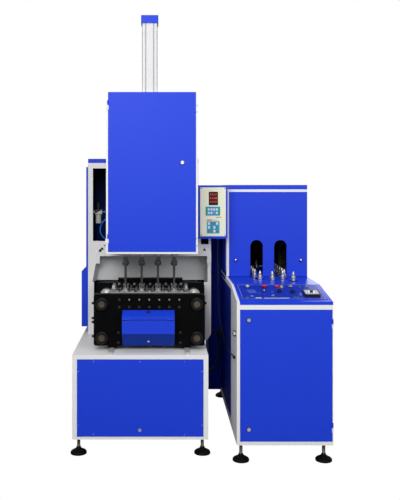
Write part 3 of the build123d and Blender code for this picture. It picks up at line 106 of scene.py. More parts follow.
# Materials: each has uneven colour, uneven gloss and a fine surface
def surface(name, colour, roughness=0.4, metallic=0.0, coat=0.0, spread=0.06, grain=40.0,
            stretch=(1, 1, 1), bump=0.02, rough_spread=0.08, specular=0.4):
    """A paint, metal or plastic whose colour and gloss vary by spread and rough_spread."""
    material = bpy.data.materials.new(name)
    material.use_nodes = True
    tree = material.node_tree
    shader = tree.nodes["Principled BSDF"]
    shader.inputs["Metallic"].default_value = metallic
    shader.inputs["Specular IOR Level"].default_value = specular
    shader.inputs["Coat Weight"].default_value = coat
    shader.inputs["Coat Roughness"].default_value = 0.1
    place = tree.nodes.new("ShaderNodeTexCoord")
    mapping = tree.nodes.new("ShaderNodeMapping")
    mapping.inputs["Scale"].default_value = stretch
    tree.links.new(place.outputs["Object"], mapping.inputs["Vector"])
    noise = tree.nodes.new("ShaderNodeTexNoise")
    noise.inputs["Scale"].default_value = grain
    noise.inputs["Detail"].default_value = 4.0
    tree.links.new(mapping.outputs["Vector"], noise.inputs["Vector"])
    mix = tree.nodes.new("ShaderNodeMix")
    mix.data_type = "RGBA"
    mix.inputs["A"].default_value = [max(0.0, c * (1 - spread)) for c in colour] + [1]
    mix.inputs["B"].default_value = [min(1.0, c * (1 + spread)) for c in colour] + [1]
    tree.links.new(noise.outputs["Fac"], mix.inputs["Factor"])
    tree.links.new(mix.outputs["Result"], shader.inputs["Base Color"])
    gloss = tree.nodes.new("ShaderNodeMapRange")
    gloss.inputs["To Min"].default_value = max(0.02, roughness - rough_spread)
    gloss.inputs["To Max"].default_value = min(1.0, roughness + rough_spread)
    tree.links.new(noise.outputs["Fac"], gloss.inputs["Value"])
    tree.links.new(gloss.outputs["Result"], shader.inputs["Roughness"])
    relief = tree.nodes.new("ShaderNodeBump")
    relief.inputs["Strength"].default_value = bump
    relief.inputs["Distance"].default_value = 0.001
    tree.links.new(noise.outputs["Fac"], relief.inputs["Height"])
    tree.links.new(relief.outputs["Normal"], shader.inputs["Normal"])
    return material


def ink(name, colour, spread=0.05):
    """A dull printed colour."""
    return surface(name, colour, 0.5, spread=spread, grain=150, specular=0.2)


BLUE = (0.007, 0.046, 0.65)
blue = surface("blue_paint", BLUE, 0.5, spread=0.03, grain=90, specular=0.26)
# Blue paint darkened to painted shade, for the flap's downward face and the rings round the cover's knobs
blue_in_shade = surface("blue_paint_shade", (0.004, 0.036, 0.35), 0.5, spread=0.03, grain=90, specular=0.1)
blue_gloss = surface("blue_gloss", BLUE, 0.36, spread=0.03, grain=90, specular=0.3, rough_spread=0.04)
plate_blue = surface("plate_blue", (0.006, 0.028, 0.42), 0.42, spread=0.05, grain=120, specular=0.2)
# Blue paint darkened to painted deep shade, for the electric box, the lower right side cover and thin dark
# strips
blue_in_deep_shade = surface("navy_paint", (0.0015, 0.014, 0.25), 0.55, spread=0.1, grain=60, specular=0.05)
# Dark blue for the tower frame's inside faces: painted shade
tower_inside_shade = surface("tower_inside_shade", (0.012, 0.028, 0.17), 0.6, spread=0.2, grain=60, specular=0.1)
white = surface("white_paint", (0.80, 0.80, 0.80), 0.45, spread=0.02, grain=70, specular=0.25)
grey = surface("grey_paint", (0.64, 0.65, 0.66), 0.45, spread=0.06, grain=60, specular=0.25)
beige = surface("beige_paint", (0.82, 0.83, 0.64), 0.5, spread=0.03, grain=80, specular=0.2)
black_oxide = surface("black_oxide", (0.0018, 0.0018, 0.0022), 0.4, spread=0.3, grain=50, specular=0.06)
nut_black = surface("nut_black", (0.016, 0.016, 0.018), 0.3, 0.6, spread=0.3, grain=60)
aluminium = surface("mould_aluminium", (0.44, 0.44, 0.43), 0.36, 0.7, spread=0.1, grain=30,
                    stretch=(1, 12, 1), bump=0.05)
anodised = surface("anodised", (0.50, 0.50, 0.51), 0.5, 0.4, spread=0.05, grain=20,
                   stretch=(14, 14, 1), bump=0.04)
steel = surface("machined_steel", (0.37, 0.37, 0.36), 0.13, 1.0, spread=0.12, grain=60,
                stretch=(1, 1, 8), bump=0.05)
bright_steel = surface("bright_steel", (0.78, 0.78, 0.77), 0.3, 0.8, spread=0.08, grain=90)
mould_steel = surface("mould_steel", (0.42, 0.42, 0.41), 0.3, 0.9, spread=0.2, grain=60)
dull_steel = surface("dull_steel", (0.05, 0.05, 0.05), 0.5, 0.8, spread=0.2, grain=90)
chrome = surface("hard_chrome", (0.60, 0.61, 0.62), 0.12, 1.0, spread=0.04, grain=40, rough_spread=0.04)
bronze = surface("bearing_bronze", (0.165, 0.125, 0.085), 0.4, 1.0, spread=0.12, grain=50)
chain_steel = surface("chain_steel", (0.10, 0.095, 0.09), 0.40, 0.9, spread=0.25, grain=80)
mandrel_steel = surface("mandrel_steel", (0.66, 0.65, 0.63), 0.32, 1.0, spread=0.1, grain=60,
                        stretch=(1, 1, 10))
brown_steel = surface("brown_steel", (0.20, 0.17, 0.13), 0.45, 0.8, spread=0.2, grain=60)
black_plastic = surface("black_plastic", (0.010, 0.010, 0.011), 0.42, spread=0.2, grain=200, specular=0.3)
white_plastic = surface("white_plastic", (0.70, 0.72, 0.70), 0.3, spread=0.03, grain=150)
label_grey = surface("label_grey", (0.50, 0.53, 0.56), 0.45, spread=0.03, grain=150, specular=0.2)
red_plastic = surface("red_plastic", (0.60, 0.010, 0.012), 0.3, coat=0.2, spread=0.06, grain=150)
green_lens = surface("green_lens", (0.010, 0.13, 0.085), 0.25, coat=0.3, spread=0.1, grain=120)
red_lens = surface("red_lens", (0.55, 0.020, 0.020), 0.2, coat=0.5, spread=0.08, grain=120)
yellow_lens = surface("yellow_lens", (0.55, 0.40, 0.08), 0.2, coat=0.5, spread=0.08, grain=120)
rubber = surface("foot_rubber", (0.003, 0.003, 0.003), 0.6, spread=0.25, grain=90, bump=0.1, specular=0.1)
cable_black = surface("cable_black", (0.006, 0.006, 0.007), 0.5, spread=0.2, grain=150, specular=0.2)
hose_blue = surface("hose_blue", (0.005, 0.17, 0.78), 0.28, coat=0.4, spread=0.08, grain=120)
filter_grey = surface("filter_body", (0.42, 0.42, 0.40), 0.35, coat=0.2, spread=0.05, grain=90)
# Grey metal for the rails and the selector's grip, and painted shade on the barrel's groove walls
grey_and_groove_shade = surface("grey_and_groove_shade", (0.42, 0.42, 0.42), 0.6, 0.3, spread=0.1, grain=60)
quartz = surface("quartz", (0.10, 0.07, 0.05), 0.3, coat=0.3, spread=0.15, grain=60)
# Near black for the oven's inside and the heater cover's back: painted shade
oven_inside_shade = surface("oven_inside_shade", (0.002, 0.003, 0.008), 0.6, spread=0.2, grain=60, specular=0.1)
dark_window = surface("dark_window", (0.020, 0.006, 0.006), 0.25, coat=0.3, spread=0.2, grain=100)
cream = ink("cream_print", (0.60, 0.58, 0.42))
pale_print = ink("pale_print", (0.42, 0.46, 0.70), 0.06)
sticker = ink("sticker_blue", (0.06, 0.10, 0.52))
dull_print = ink("dull_print", (0.12, 0.16, 0.36), 0.06)
sky = ink("sky_print", (0.030, 0.33, 0.60), 0.06)
green_print = ink("green_print", (0.03, 0.30, 0.12), 0.06)
white_print = ink("white_print", (0.72, 0.74, 0.76), 0.03)
pink_print = ink("pink_print", (0.55, 0.13, 0.28))
brown_print = ink("brown_print", (0.20, 0.16, 0.12))
red_print = ink("red_print", (0.60, 0.030, 0.030))
orange_print = ink("orange_print", (0.75, 0.17, 0.02))

finishes = {
    white: ["base_frame", "tower_frame", "upper_cabinet", "heater_frame"],
    blue: ["base_front_panel", "side_covers", "top_lids", "upper_door", "heater_door", "heater_cover",
           "platen_cover", "cover_flap", "control_box", "cylinder_end_caps"],
    blue_gloss: ["console", "deck_centre_plate"],
    plate_blue: ["console_plate"],
    # The electric box's blue paint carries painted deep shade
    blue_in_deep_shade: ["electric_box"],
    grey: ["clamp_guard"],
    beige: ["control_panel"],
    black_oxide: ["front_platen", "middle_platen", "rear_platen", "platen_fasteners"],
    aluminium: ["front_mould", "rear_mould"],
    anodised: ["cylinder_barrel", "seal_cylinder_block", "clamp_cylinder", "stretch_crossbar"],
    steel: ["stretch_rods", "blow_nozzles"],
    grey_and_groove_shade: ["clamp_rails"],
    brown_steel: ["foot_stems"],
    chrome: ["tie_bars", "clamp_rod", "carriage_guide_rods", "stretch_piston_rod"],
    chain_steel: ["conveyor_chain", "sprockets"],
    mandrel_steel: ["mandrels"],
    black_plastic: ["speed_knob", "timer_knob", "regulator_knob", "power_regulator"],
    label_grey: ["start_button"],
    bright_steel: ["tie_bar_bushings", "selector_switch", "door_lock", "heater_latch_upper",
                   "heater_latch_lower"],
    red_plastic: ["stop_button"],
    green_lens: ["console_lamps"],
    rubber: ["foot_pads"],
    filter_grey: ["air_filter"],
    quartz: ["lamp_banks"],
}
for material, names in finishes.items():
    for name in names:
        nodes[name].data.materials.clear()
        nodes[name].data.materials.append(material)

# Cables and air hoses: routes given as listed points
CONTROL_CABLE_RADIUS = 3.5
POWER_CABLE_RADIUS = 6.5
AIR_HOSE_RADIUS = 4.0
CONTROL_CABLE_ROUTE = [(394, 483, 1079), (394, 483, 1035), (392, 485, 965), (396, 479, 885),
                       (392, 474, 805), (396, 468, 725), (401, 455, 648), (409, 425, 582),
                       (417, 375, 535), (423, 310, 511), (427, 235, 501), (429, 155, 500),
                       (431, 80, 507), (434, 20, 518), (434, -18, 518)]
POWER_CABLE_ROUTE = [(315, 590, 290), (354, 590, 291), (384, 599, 309), (401, 618, 342),
                     (406, 646, 384), (409, 676, 426), (414, 712, 458), (420, 753, 476),
                     (422, 798, 477)]
UPPER_HOSE_ROUTE = [(-289, 590, 1238), (-268, 590, 1238), (-246, 592, 1229), (-226, 595, 1219),
                    (-204, 595, 1219)]
LOWER_HOSE_ROUTE = [(-204, 610, 1206), (-238, 610, 1206), (-276, 609, 1191), (-301, 606, 1154),
                    (-303, 604, 1112), (-280, 607, 1077), (-244, 610, 1062), (-204, 610, 1062)]


def flexible_line(node, route, radius, material):
    """A smooth cable or hose along the route's points, in place of its plain solid."""
    curve = bpy.data.curves.new(node + "_line", "CURVE")
    curve.dimensions = "3D"
    curve.bevel_depth = radius / 1000
    curve.bevel_resolution = 5
    curve.use_fill_caps = True
    spline = curve.splines.new("NURBS")
    spline.points.add(len(route) - 1)
    for point, place in zip(spline.points, route):
        point.co = (*at(*place), 1)
    spline.order_u = 3
    spline.use_endpoint_u = True
    curve.materials.append(material)
    line = bpy.data.objects.new(node + "_line", curve)
    scene.collection.objects.link(line)
    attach(line, "machine")
    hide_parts(node)


flexible_line("control_cable", CONTROL_CABLE_ROUTE, CONTROL_CABLE_RADIUS, cable_black)
flexible_line("power_cable", POWER_CABLE_ROUTE, POWER_CABLE_RADIUS, cable_black)
flexible_line("air_hose_upper", UPPER_HOSE_ROUTE, AIR_HOSE_RADIUS, hose_blue)
flexible_line("air_hose_lower", LOWER_HOSE_ROUTE, AIR_HOSE_RADIUS, hose_blue)

# Faces of one node that have another finish or painted shade, with the limits between them
TOWER_INSIDE = ((-365.5, 355.5), (539.5, 997.5), (524, 1525))
WING_TOP = 1388
RIGHT_ABOVE_WING = 281
OVEN_INSIDE = ((451, 920.5), (527, 1098), (800, 1370))
GLAND_DEPTH_END = 100
GLAND_HEIGHTS = (480, 580)
# Below this height the right side cover carries painted deep shade
SIDE_SHADE_TOP = 845
NUT_COLUMN = 200
BACK_ROW_Y = 100
RED_LAMP_END = HEATER_LEFT + 255
YELLOW_LAMP_END = HEATER_LEFT + 280
TOGGLE_ROW = (40, 80)
MARK_ROW = (14, 34)
MARK_START = HEATER_LEFT + 320
SELECTOR_SKIRT = PLATE_THICKNESS + 5
SELECTOR_GRIP = PLATE_THICKNESS + 6
FILTER_HEAD_Z = 1240
FILTER_TOP_Z = 1280
MANDREL_COLLAR_TOP = 862.2
FRONT_MANDRELS_END = 360
barrel_low, barrel_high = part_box("cylinder_barrel")
barrel_half = (barrel_high.x - barrel_low.x) * 500
barrel_x, barrel_y = place_of((barrel_low + barrel_high) / 2)[:2]


def paint_faces(name, material, chosen):
    """Gives the faces of one node that chosen(x, y, z, normal) picks their own material."""
    mesh = nodes[name].data
    mesh.materials.append(material)
    index = len(mesh.materials) - 1
    for face in mesh.polygons:
        if chosen(*place_of(face.center), face.normal):
            face.material_index = index


def between(value, limits):
    """True where a value lies between two limits."""
    return limits[0] < value < limits[1]


def within(place, ranges):
    """True where each coordinate lies in its own range."""
    return all(between(value, limits) for value, limits in zip(place, ranges))


def inside_tower(x, y, z, normal):
    return within((x, y, z), TOWER_INSIDE) and (z <= WING_TOP or x < RIGHT_ABOVE_WING)


def inside_oven(x, y, z, normal):
    return within((x, y, z), OVEN_INSIDE)


def heater_gland(x, y, z, normal):
    return x < HEATER_LEFT - 0.3 and y < GLAND_DEPTH_END and between(z, GLAND_HEIGHTS)


def inside_groove(x, y, z, normal):
    reach = max(abs(x - barrel_x), abs(y - barrel_y))
    return barrel_half * 0.8 < reach < barrel_half - 0.5 and abs(normal.z) < 0.5


def red_lamp(x, y, z, normal):
    return y > BACK_ROW_Y and x < RED_LAMP_END


def yellow_lamp(x, y, z, normal):
    return y > BACK_ROW_Y and RED_LAMP_END < x < YELLOW_LAMP_END


# The tower frame's inside faces carry painted shade
paint_faces("tower_frame", tower_inside_shade, inside_tower)
# The oven's inside faces carry painted shade
paint_faces("heater_frame", oven_inside_shade, inside_oven)
paint_faces("heater_frame", black_plastic, heater_gland)
# The right side cover below the deck carries painted deep shade
paint_faces("side_covers", blue_in_deep_shade, lambda x, y, z, normal: x > 0 and z < SIDE_SHADE_TOP)
paint_faces("tie_bars", bronze, lambda x, y, z, normal: y < PLATEN_FACE)
paint_faces("platen_fasteners", dull_steel, lambda x, y, z, normal: abs(x) < NUT_COLUMN)
paint_faces("platen_fasteners", nut_black, lambda x, y, z, normal: abs(x) > NUT_COLUMN)
# The barrel's groove walls are painted darker as shade
paint_faces("cylinder_barrel", grey_and_groove_shade, inside_groove)
# The flap's downward faces carry painted shade
paint_faces("cover_flap", blue_in_shade, lambda x, y, z, normal: normal.z < -0.3)
paint_faces("console_plate", black_plastic,
            lambda x, y, z, normal: slope_height(y, z) > PLATE_THICKNESS + 0.2)
paint_faces("console_lamps", red_lens, red_lamp)
paint_faces("console_lamps", yellow_lens, yellow_lamp)
paint_faces("console_lamps", black_plastic, lambda x, y, z, normal: between(y, TOGGLE_ROW))
paint_faces("console_lamps", dull_print, lambda x, y, z, normal: between(y, MARK_ROW) and x > MARK_START)
paint_faces("selector_switch", black_plastic,
            lambda x, y, z, normal: slope_height(y, z) < SELECTOR_SKIRT)
paint_faces("selector_switch", grey_and_groove_shade,
            lambda x, y, z, normal: slope_height(y, z) > SELECTOR_GRIP)
paint_faces("air_filter", black_plastic, lambda x, y, z, normal: z > FILTER_HEAD_Z)
paint_faces("air_filter", bronze, lambda x, y, z, normal: z > FILTER_TOP_Z and normal.z > 0.9)
paint_faces("mandrels", black_plastic,
            lambda x, y, z, normal: z < MANDREL_COLLAR_TOP and y < FRONT_MANDRELS_END)
# The heater cover's back faces carry painted shade
paint_faces("heater_cover", oven_inside_shade, lambda x, y, z, normal: y > COVER_BACK - 0.5)


# Small pieces that ride on the solids' bodies
def piece(name, body, material, shape, place, turn=None):
    """Turns a shape in millimetres into an object that rides on a body."""
    bmesh.ops.recalc_face_normals(shape, faces=shape.faces)
    bmesh.ops.scale(shape, vec=(0.001, 0.001, 0.001), verts=shape.verts)
    mesh = bpy.data.meshes.new(name)
    shape.to_mesh(mesh)
    shape.free()
    mesh.materials.append(material)
    obj = bpy.data.objects.new(name, mesh)
    scene.collection.objects.link(obj)
    obj.matrix_world = Matrix.Translation(place) @ (turn or Matrix.Identity(4))
    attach(obj, body)
    return obj


def slab(across, deep, thick, bevel=0.0):
    """A plate on Z = 0 with slightly broken edges."""
    shape = bmesh.new()
    bmesh.ops.create_cube(shape, size=1)
    bmesh.ops.scale(shape, vec=(across, deep, thick), verts=shape.verts)
    bmesh.ops.translate(shape, vec=(0, 0, thick / 2), verts=shape.verts)
    if bevel:
        bmesh.ops.bevel(shape, geom=shape.edges, offset=bevel, segments=2, affect="EDGES")
    return shape


def lathe(profile, segments=32):
    """A solid turned about Z from (radius, height) points, closed on the axis."""
    shape = bmesh.new()
    rings = []
    for radius, height in profile:
        if radius == 0:
            rings.append([shape.verts.new((0, 0, height))])
            continue
        rings.append([shape.verts.new((radius * math.cos(2 * math.pi * i / segments),
                                       radius * math.sin(2 * math.pi * i / segments), height))
                      for i in range(segments)])
    for low, high in zip(rings, rings[1:]):
        for i in range(segments):
            corners = [low[i % len(low)], low[(i + 1) % len(low)],
                       high[(i + 1) % len(high)], high[i % len(high)]]
            unique = list(dict.fromkeys(corners))
            if len(unique) > 2:
                shape.faces.new(unique)
    return shape


def stud(radius, height, dome=0.0):
    """A round head, domed when dome is above zero."""
    if not dome:
        chamfer = min(0.6, radius * 0.15)
        return lathe([(0, 0), (radius, 0), (radius, height - chamfer), (radius - chamfer, height),
                      (0, height)])
    steps = [(radius * math.cos(a), height + dome * math.sin(a))
             for a in (math.radians(15 * k) for k in range(6))]
    return lathe([(0, 0), (radius, 0)] + steps + [(0, height + dome)])


def washer(outer, inner, height):
    """A flat ring."""
    return lathe([(inner, 0), (outer, 0), (outer, height), (inner, height), (inner, 0)])


def triangle(radius, height):
    """A flat three-cornered mark, with its corners at a radius."""
    return lathe([(0, 0), (radius, 0), (radius, height), (0, height)], 3)


FACING = Matrix.Rotation(math.radians(90), 4, "X")
FACING_LEFT = Matrix.Rotation(math.radians(-90), 4, "Y")
FACING_RIGHT = Matrix.Rotation(math.radians(90), 4, "Y")
LEANING = Matrix.Rotation(math.atan(SLOPE_RISE), 4, "X")


def on_face(name, body, material, shape, x, face_y, z, spin=0.0):
    """Sets a shape on a face that looks at the operator."""
    turn = FACING @ Matrix.Rotation(math.radians(spin), 4, "Z")
    return piece(name, body, material, shape, at(x, face_y, z), turn)


def on_plate(name, material, shape, across, y, lift=PLATE_THICKNESS, spin=0.0):
    """Sets a shape on the console's sloping plate."""
    normal = Vector((0, -SLOPE_RISE, 1)).normalized()
    spot = at(HEATER_LEFT + across, y, slope_z(y)) + normal * lift / 1000
    turn = LEANING @ Matrix.Rotation(math.radians(spin), 4, "Z")
    return piece(name, "machine", material, shape, spot, turn)


# Base: places of the front panel's screws and of its round lock
PANEL_SCREWS = [(-286, 487), (-46, 487), (183, 487), (-286, 112), (183, 112),
                (-363, 437), (-363, 161), (272, 437), (272, 161)]
PANEL_LOCK_X, PANEL_LOCK_Z = -47, 136
PANEL_LOCK_HEIGHT = 1.5


def base_panel_details():
    """Screws round the front panel and its round lock."""
    for number, (x, z) in enumerate(PANEL_SCREWS):
        on_face("panel_screw_%d" % number, "machine", steel, stud(3.2, 0.4, 1.2), x, BASE_FACE, z)
    on_face("panel_lock", "machine", bright_steel, stud(8, PANEL_LOCK_HEIGHT), PANEL_LOCK_X, BASE_FACE,
            PANEL_LOCK_Z)
    on_face("panel_lock_slot", "machine", black_plastic, slab(9, 1.6, 0.4), PANEL_LOCK_X,
            BASE_FACE - PANEL_LOCK_HEIGHT, PANEL_LOCK_Z, 90)


# Feet: columns, rows and the height of the nut, for the base and for the heater
FOOT_GROUPS = [((-367, 277), (52, 948), 72), ((467, 887), (-45, 1048), 78)]
FOOT_PLACES = [(x, y, top) for columns, rows, top in FOOT_GROUPS for x in columns for y in rows]
THREAD_PITCH = 3.0
THREAD_ROOT = 7.8
THREAD_CREST = 8.8


def foot_threads():
    """Threaded studs between the pads and the nuts."""
    for number, (x, y, top) in enumerate(FOOT_PLACES):
        profile = [(0, PAD_TOP)]
        for turn in range(int((top - PAD_TOP) / THREAD_PITCH)):
            start = PAD_TOP + turn * THREAD_PITCH
            profile += [(THREAD_ROOT, start), (THREAD_CREST, start + THREAD_PITCH / 2)]
        profile += [(THREAD_ROOT, top), (0, top)]
        piece("foot_thread_%d" % number, "machine", brown_steel, lathe(profile), at(x, y, 0))


# Electric box: where the power cable goes in
BOX_GLAND_X, BOX_GLAND_Z = 423, 475
BOX_GLAND_BORE = 9


def box_gland():
    """Black collar and nut round the power cable."""
    for name, radius, length in (("box_gland", 19, 10), ("box_gland_nut", 14, 22)):
        on_face(name, "machine", black_plastic, washer(radius, BOX_GLAND_BORE, length), BOX_GLAND_X,
                BOX_FACE, BOX_GLAND_Z)


# Doors: rings of painted shade round the locks, and small screws beside the upper door
LOCK_SHADE_RINGS = [("door_lock_shade_ring", "cabinet_door", 175, CABINET_FACE, 1517),
              ("upper_latch_shade_ring", "front_door", 501, HEATER_FRONT, 721),
              ("lower_latch_shade_ring", "front_door", 501, HEATER_FRONT, 174)]
CABINET_SCREW_X = 254.2
CABINET_SCREW_HEIGHTS = (1822, 1787, 1113, 1071)


def door_details():
    """Dark rings of painted shade round the door lock and the heater's latches, and the cabinet's dark
    screws.
    """
    # Dark washers round the lock and the latches: painted shade
    for name, body, x, face_y, z in LOCK_SHADE_RINGS:
        on_face(name, body, dull_steel, washer(11.5, 9.2, 1.5), x, face_y, z)
    for number, z in enumerate(CABINET_SCREW_HEIGHTS):
        on_face("cabinet_screw_%d" % number, "machine", black_plastic, stud(2.6, 0.6, 0.8),
                CABINET_SCREW_X, CABINET_FACE, z)


# Heater: knobs across the oven cover, fittings (y, z, radius, height) and strips of painted shade on the
# left side
COVER_KNOBS = (61.0, 444.6)
COVER_KNOB_Z = 956
SIDE_FITTINGS = [(0, 636, 15, 7), (-10, 648, 3.5, 10), (-10, 626, 3.5, 10),
                 (-60, 655, 4, 5), (-60, 634, 4, 5), (30, 628, 4, 9)]
SIDE_SHADE_STRIPS = [("oven_side_shade", OVEN_LEFT, 857.5, 887), ("deck_side_shade", HEATER_LEFT, 838.5, 856.5)]
STRIP_MIDDLE_Y = 662
STRIP_LENGTH = 266
# Thin dark lines along the oven cover's foot: painted shadow
COVER_SHADOW_LINES = [(443, 590), (669, 731), (809, 921)]
COVER_SHADOW_LINE_Z = 858.8


def heater_details():
    """Domed knobs on the oven cover ringed with painted shade, small fittings, strips of painted shade on
    the left, and a painted shadow line along the cover's foot.
    """
    for number, across in enumerate(COVER_KNOBS):
        x = HEATER_LEFT + across
        on_face("cover_knob_%d" % number, "machine", chrome, stud(9, 2, 7), x, COVER_FACE, COVER_KNOB_Z)
        # Dark rings set low round the knobs: painted shade
        on_face("cover_knob_ring_%d" % number, "machine", blue_in_shade, washer(12, 9.2, 1.2), x,
                COVER_FACE, COVER_KNOB_Z - 2)
    for number, (y, z, radius, height) in enumerate(SIDE_FITTINGS):
        material = black_plastic if number else white_plastic
        piece("side_fitting_%d" % number, "machine", material, stud(radius, height),
              at(HEATER_LEFT, y, z), FACING_LEFT)
    # Thin dark sheets on the heater's left side: painted shade
    for name, x, low, high in SIDE_SHADE_STRIPS:
        piece(name, "machine", blue_in_deep_shade, slab(high - low, STRIP_LENGTH, 1),
              at(x, STRIP_MIDDLE_Y, (low + high) / 2), FACING_LEFT)
    # Thin dark lines along the cover's foot: painted shadow
    for number, (left, right) in enumerate(COVER_SHADOW_LINES):
        on_face("cover_shadow_line_%d" % number, "machine", blue_in_deep_shade, slab(right - left, 3, 0.5),
                (left + right) / 2, COVER_FACE, COVER_SHADOW_LINE_Z)


# Platen cover: places on its sloping top and on the flap's slanted lower face
COVER_SLOPE = 15.6
COVER_KNOB_PLACE = (COVER_MIDDLE_X, 82, 727.3)
FLAP_SLANT = 136
FLAP_LOCK_PLACE = (COVER_MIDDLE_X, 82, 574.6)
SEAM_LENGTH = 264
SEAM_Z = 692.9


def platen_cover_details():
    """The cover's knob, the flap's lock and the dark seam line along the flap's top."""
    piece("cover_knob", "front_clamp", black_plastic, stud(9, 3, 4), at(*COVER_KNOB_PLACE),
          Matrix.Rotation(math.radians(COVER_SLOPE), 4, "X"))
    piece("flap_lock", "flap", bright_steel, stud(6.5, 1.2, 1.5), at(*FLAP_LOCK_PLACE),
          Matrix.Rotation(math.radians(FLAP_SLANT), 4, "X"))
    on_face("cover_seam", "flap", black_plastic, slab(SEAM_LENGTH, 2.2, 0.3), COVER_MIDDLE_X, FLAP_FACE,
            SEAM_Z)


# Front platen: its upper row of screws, and hose fittings as steps of (radius, length)
SCREW_PITCH = 53.0
SCREW_ROW_Z = 790
SCREW_HEAD_HEIGHT = 6.4
FITTING_SETBACK = 22
LEFT_FITTING_HEIGHTS = (768, 688, 667, 592)
LEFT_FITTING_STEPS = ((8, 6), (5.5, 13))
RIGHT_FITTING_Z = 768
RIGHT_FITTING_STEPS = ((8, 5), (5.5, 10))


def hose_fitting(name, x, z, steps, turn):
    """A stepped black fitting on the edge of the front platen."""
    for step, (radius, length) in enumerate(steps):
        piece("%s_%d" % (name, step), "front_clamp", black_plastic, stud(radius, length),
              at(x, PLATEN_FACE + FITTING_SETBACK, z), turn)


def front_platen_details():
    """Bright discs on the upper screws as painted highlights, and the hose fittings on both edges."""
    for column in range(-2, 4):
        on_face("platen_screw_glint_%d" % (column + 3), "front_clamp", bright_steel, stud(3.6, 1.2),
                column * SCREW_PITCH, PLATEN_FACE - SCREW_HEAD_HEIGHT, SCREW_ROW_Z)
    for number, z in enumerate(LEFT_FITTING_HEIGHTS):
        hose_fitting("left_fitting_%d" % number, -PLATEN_HALF_WIDTH, z, LEFT_FITTING_STEPS, FACING_LEFT)
    hose_fitting("right_fitting", PLATEN_HALF_WIDTH, RIGHT_FITTING_Z, RIGHT_FITTING_STEPS, FACING_RIGHT)


# Mould tops: each block's plan (across, deep), its distance from the parting and from its column
MOULD_HALVES = [(-1, "front_clamp", 5), (1, "rear_clamp", 15)]
NECK_RING_PLAN, NECK_RING_SETBACK = (26, 38), 47
NECK_BAR_PLAN, NECK_BAR_SETBACK, NECK_BAR_SHIFT = (9, 52), 44, 19
NECK_RAIL_PLAN, NECK_RAIL_SETBACK, NECK_RAIL_SHIFT = (9, 40), 96, 12
CLAMP_BLOCK_COLUMNS = (-176, -90, 0, 90, 176)
CLAMP_BLOCK_PLAN, CLAMP_BLOCK_SETBACK = (22, 56), 50
GUIDE_BLOCK_PLAN, GUIDE_FOOT_PLAN = (12, 30), (8, 30)
GUIDE_SETBACK, GUIDE_FOOT_SHIFT = 108, 13
END_BLOCK_COLUMNS = (-204, 204)
END_BLOCK_PLAN, END_BLOCK_SETBACK = (16, 90), 80
BLOCK_BEVEL = 0.8
BLOCK_SCREW_HEIGHT = 2.4
MOULD_STRIP_Y = 162


def mould_block(name, body, material, x, y, plan, tall, screwed=False):
    """A block on a mould half, with a socket screw in its middle where it is screwed down."""
    piece(name, body, material, slab(plan[0], plan[1], tall, BLOCK_BEVEL), at(x, y, MOULD_TOP))
    if screwed:
        head = at(x, y, MOULD_TOP + tall)
        piece(name + "_screw_0", body, mould_steel, stud(4.2, BLOCK_SCREW_HEIGHT), head)
        piece(name + "_socket_0", body, black_plastic, stud(2.1, 0.3),
              head + Vector((0, 0, BLOCK_SCREW_HEIGHT / 1000)))


def mould_half_details(side, body, tall):
    """Neck rings at the cavities, clamp and guide blocks between them, and the end blocks."""
    for number, x in enumerate(CAVITIES):
        mould_block("neck_ring_%s_%d" % (body, number), body, mould_steel, x,
                    PARTING_Y + side * NECK_RING_SETBACK, NECK_RING_PLAN, tall)
        for wing in (-1, 1):
            mould_block("neck_bar_%s_%d_%d" % (body, number, wing), body, black_oxide,
                        x + wing * NECK_BAR_SHIFT, PARTING_Y + side * NECK_BAR_SETBACK, NECK_BAR_PLAN,
                        tall - 1)
            mould_block("neck_rail_%s_%d_%d" % (body, number, wing), body, aluminium,
                        x + wing * NECK_RAIL_SHIFT, PARTING_Y + side * NECK_RAIL_SETBACK, NECK_RAIL_PLAN,
                        tall - 1, screwed=True)
    for number, x in enumerate(CLAMP_BLOCK_COLUMNS):
        mould_block("clamp_block_%s_%d" % (body, number), body, black_oxide, x,
                    PARTING_Y + side * CLAMP_BLOCK_SETBACK, CLAMP_BLOCK_PLAN, tall - 2, screwed=True)
        guide_y = PARTING_Y + side * GUIDE_SETBACK
        mould_block("guide_block_%s_%d" % (body, number), body, aluminium, x, guide_y, GUIDE_BLOCK_PLAN,
                    tall, screwed=True)
        mould_block("guide_foot_%s_%d" % (body, number), body, black_oxide, x + GUIDE_FOOT_SHIFT, guide_y,
                    GUIDE_FOOT_PLAN, tall - 3)
    for number, x in enumerate(END_BLOCK_COLUMNS):
        mould_block("end_block_%s_%d" % (body, number), body, mould_steel, x,
                    PARTING_Y + side * END_BLOCK_SETBACK, END_BLOCK_PLAN, tall - 3)


def mould_edge_highlight():
    """A bright strip along the front edge of the front mould, as a painted highlight on that edge."""
    piece("mould_edge_highlight", "front_clamp", mould_steel, slab(430, 7, 3, 0.4), at(0, MOULD_STRIP_Y, MOULD_TOP))


# Tower: places (x, z) on its face of the lever's pieces, of the mark and of the blue fitting
LEVER_BASE, LEVER_ARM, LEVER_TIP = (-296, 1010), (-292, 1018), (-284, 1023)
TOWER_MARK = (319, 1015)
TOWER_FITTING = (-269, 1041)


def on_tower(name, material, shape, place, lift=0, spin=0):
    """Sets a shape on the tower's face."""
    x, z = place
    on_face(name, "machine", material, shape, x, TOWER_FACE - lift, z, spin)


def tower_details():
    """Lever, mark and a blue fitting on the tower's face."""
    on_tower("tower_lever_base", black_plastic, triangle(11, 3), LEVER_BASE, spin=90)
    on_tower("tower_lever_arm", black_plastic, slab(27, 8, 4, 1.0), LEVER_ARM, 3, 40)
    on_tower("tower_lever_tip", black_plastic, stud(6.5, 6), LEVER_TIP, 2)
    on_tower("tower_mark", black_plastic, triangle(12, 0.8), TOWER_MARK, spin=90)
    on_tower("tower_fitting", hose_blue, stud(4, 5), TOWER_FITTING)


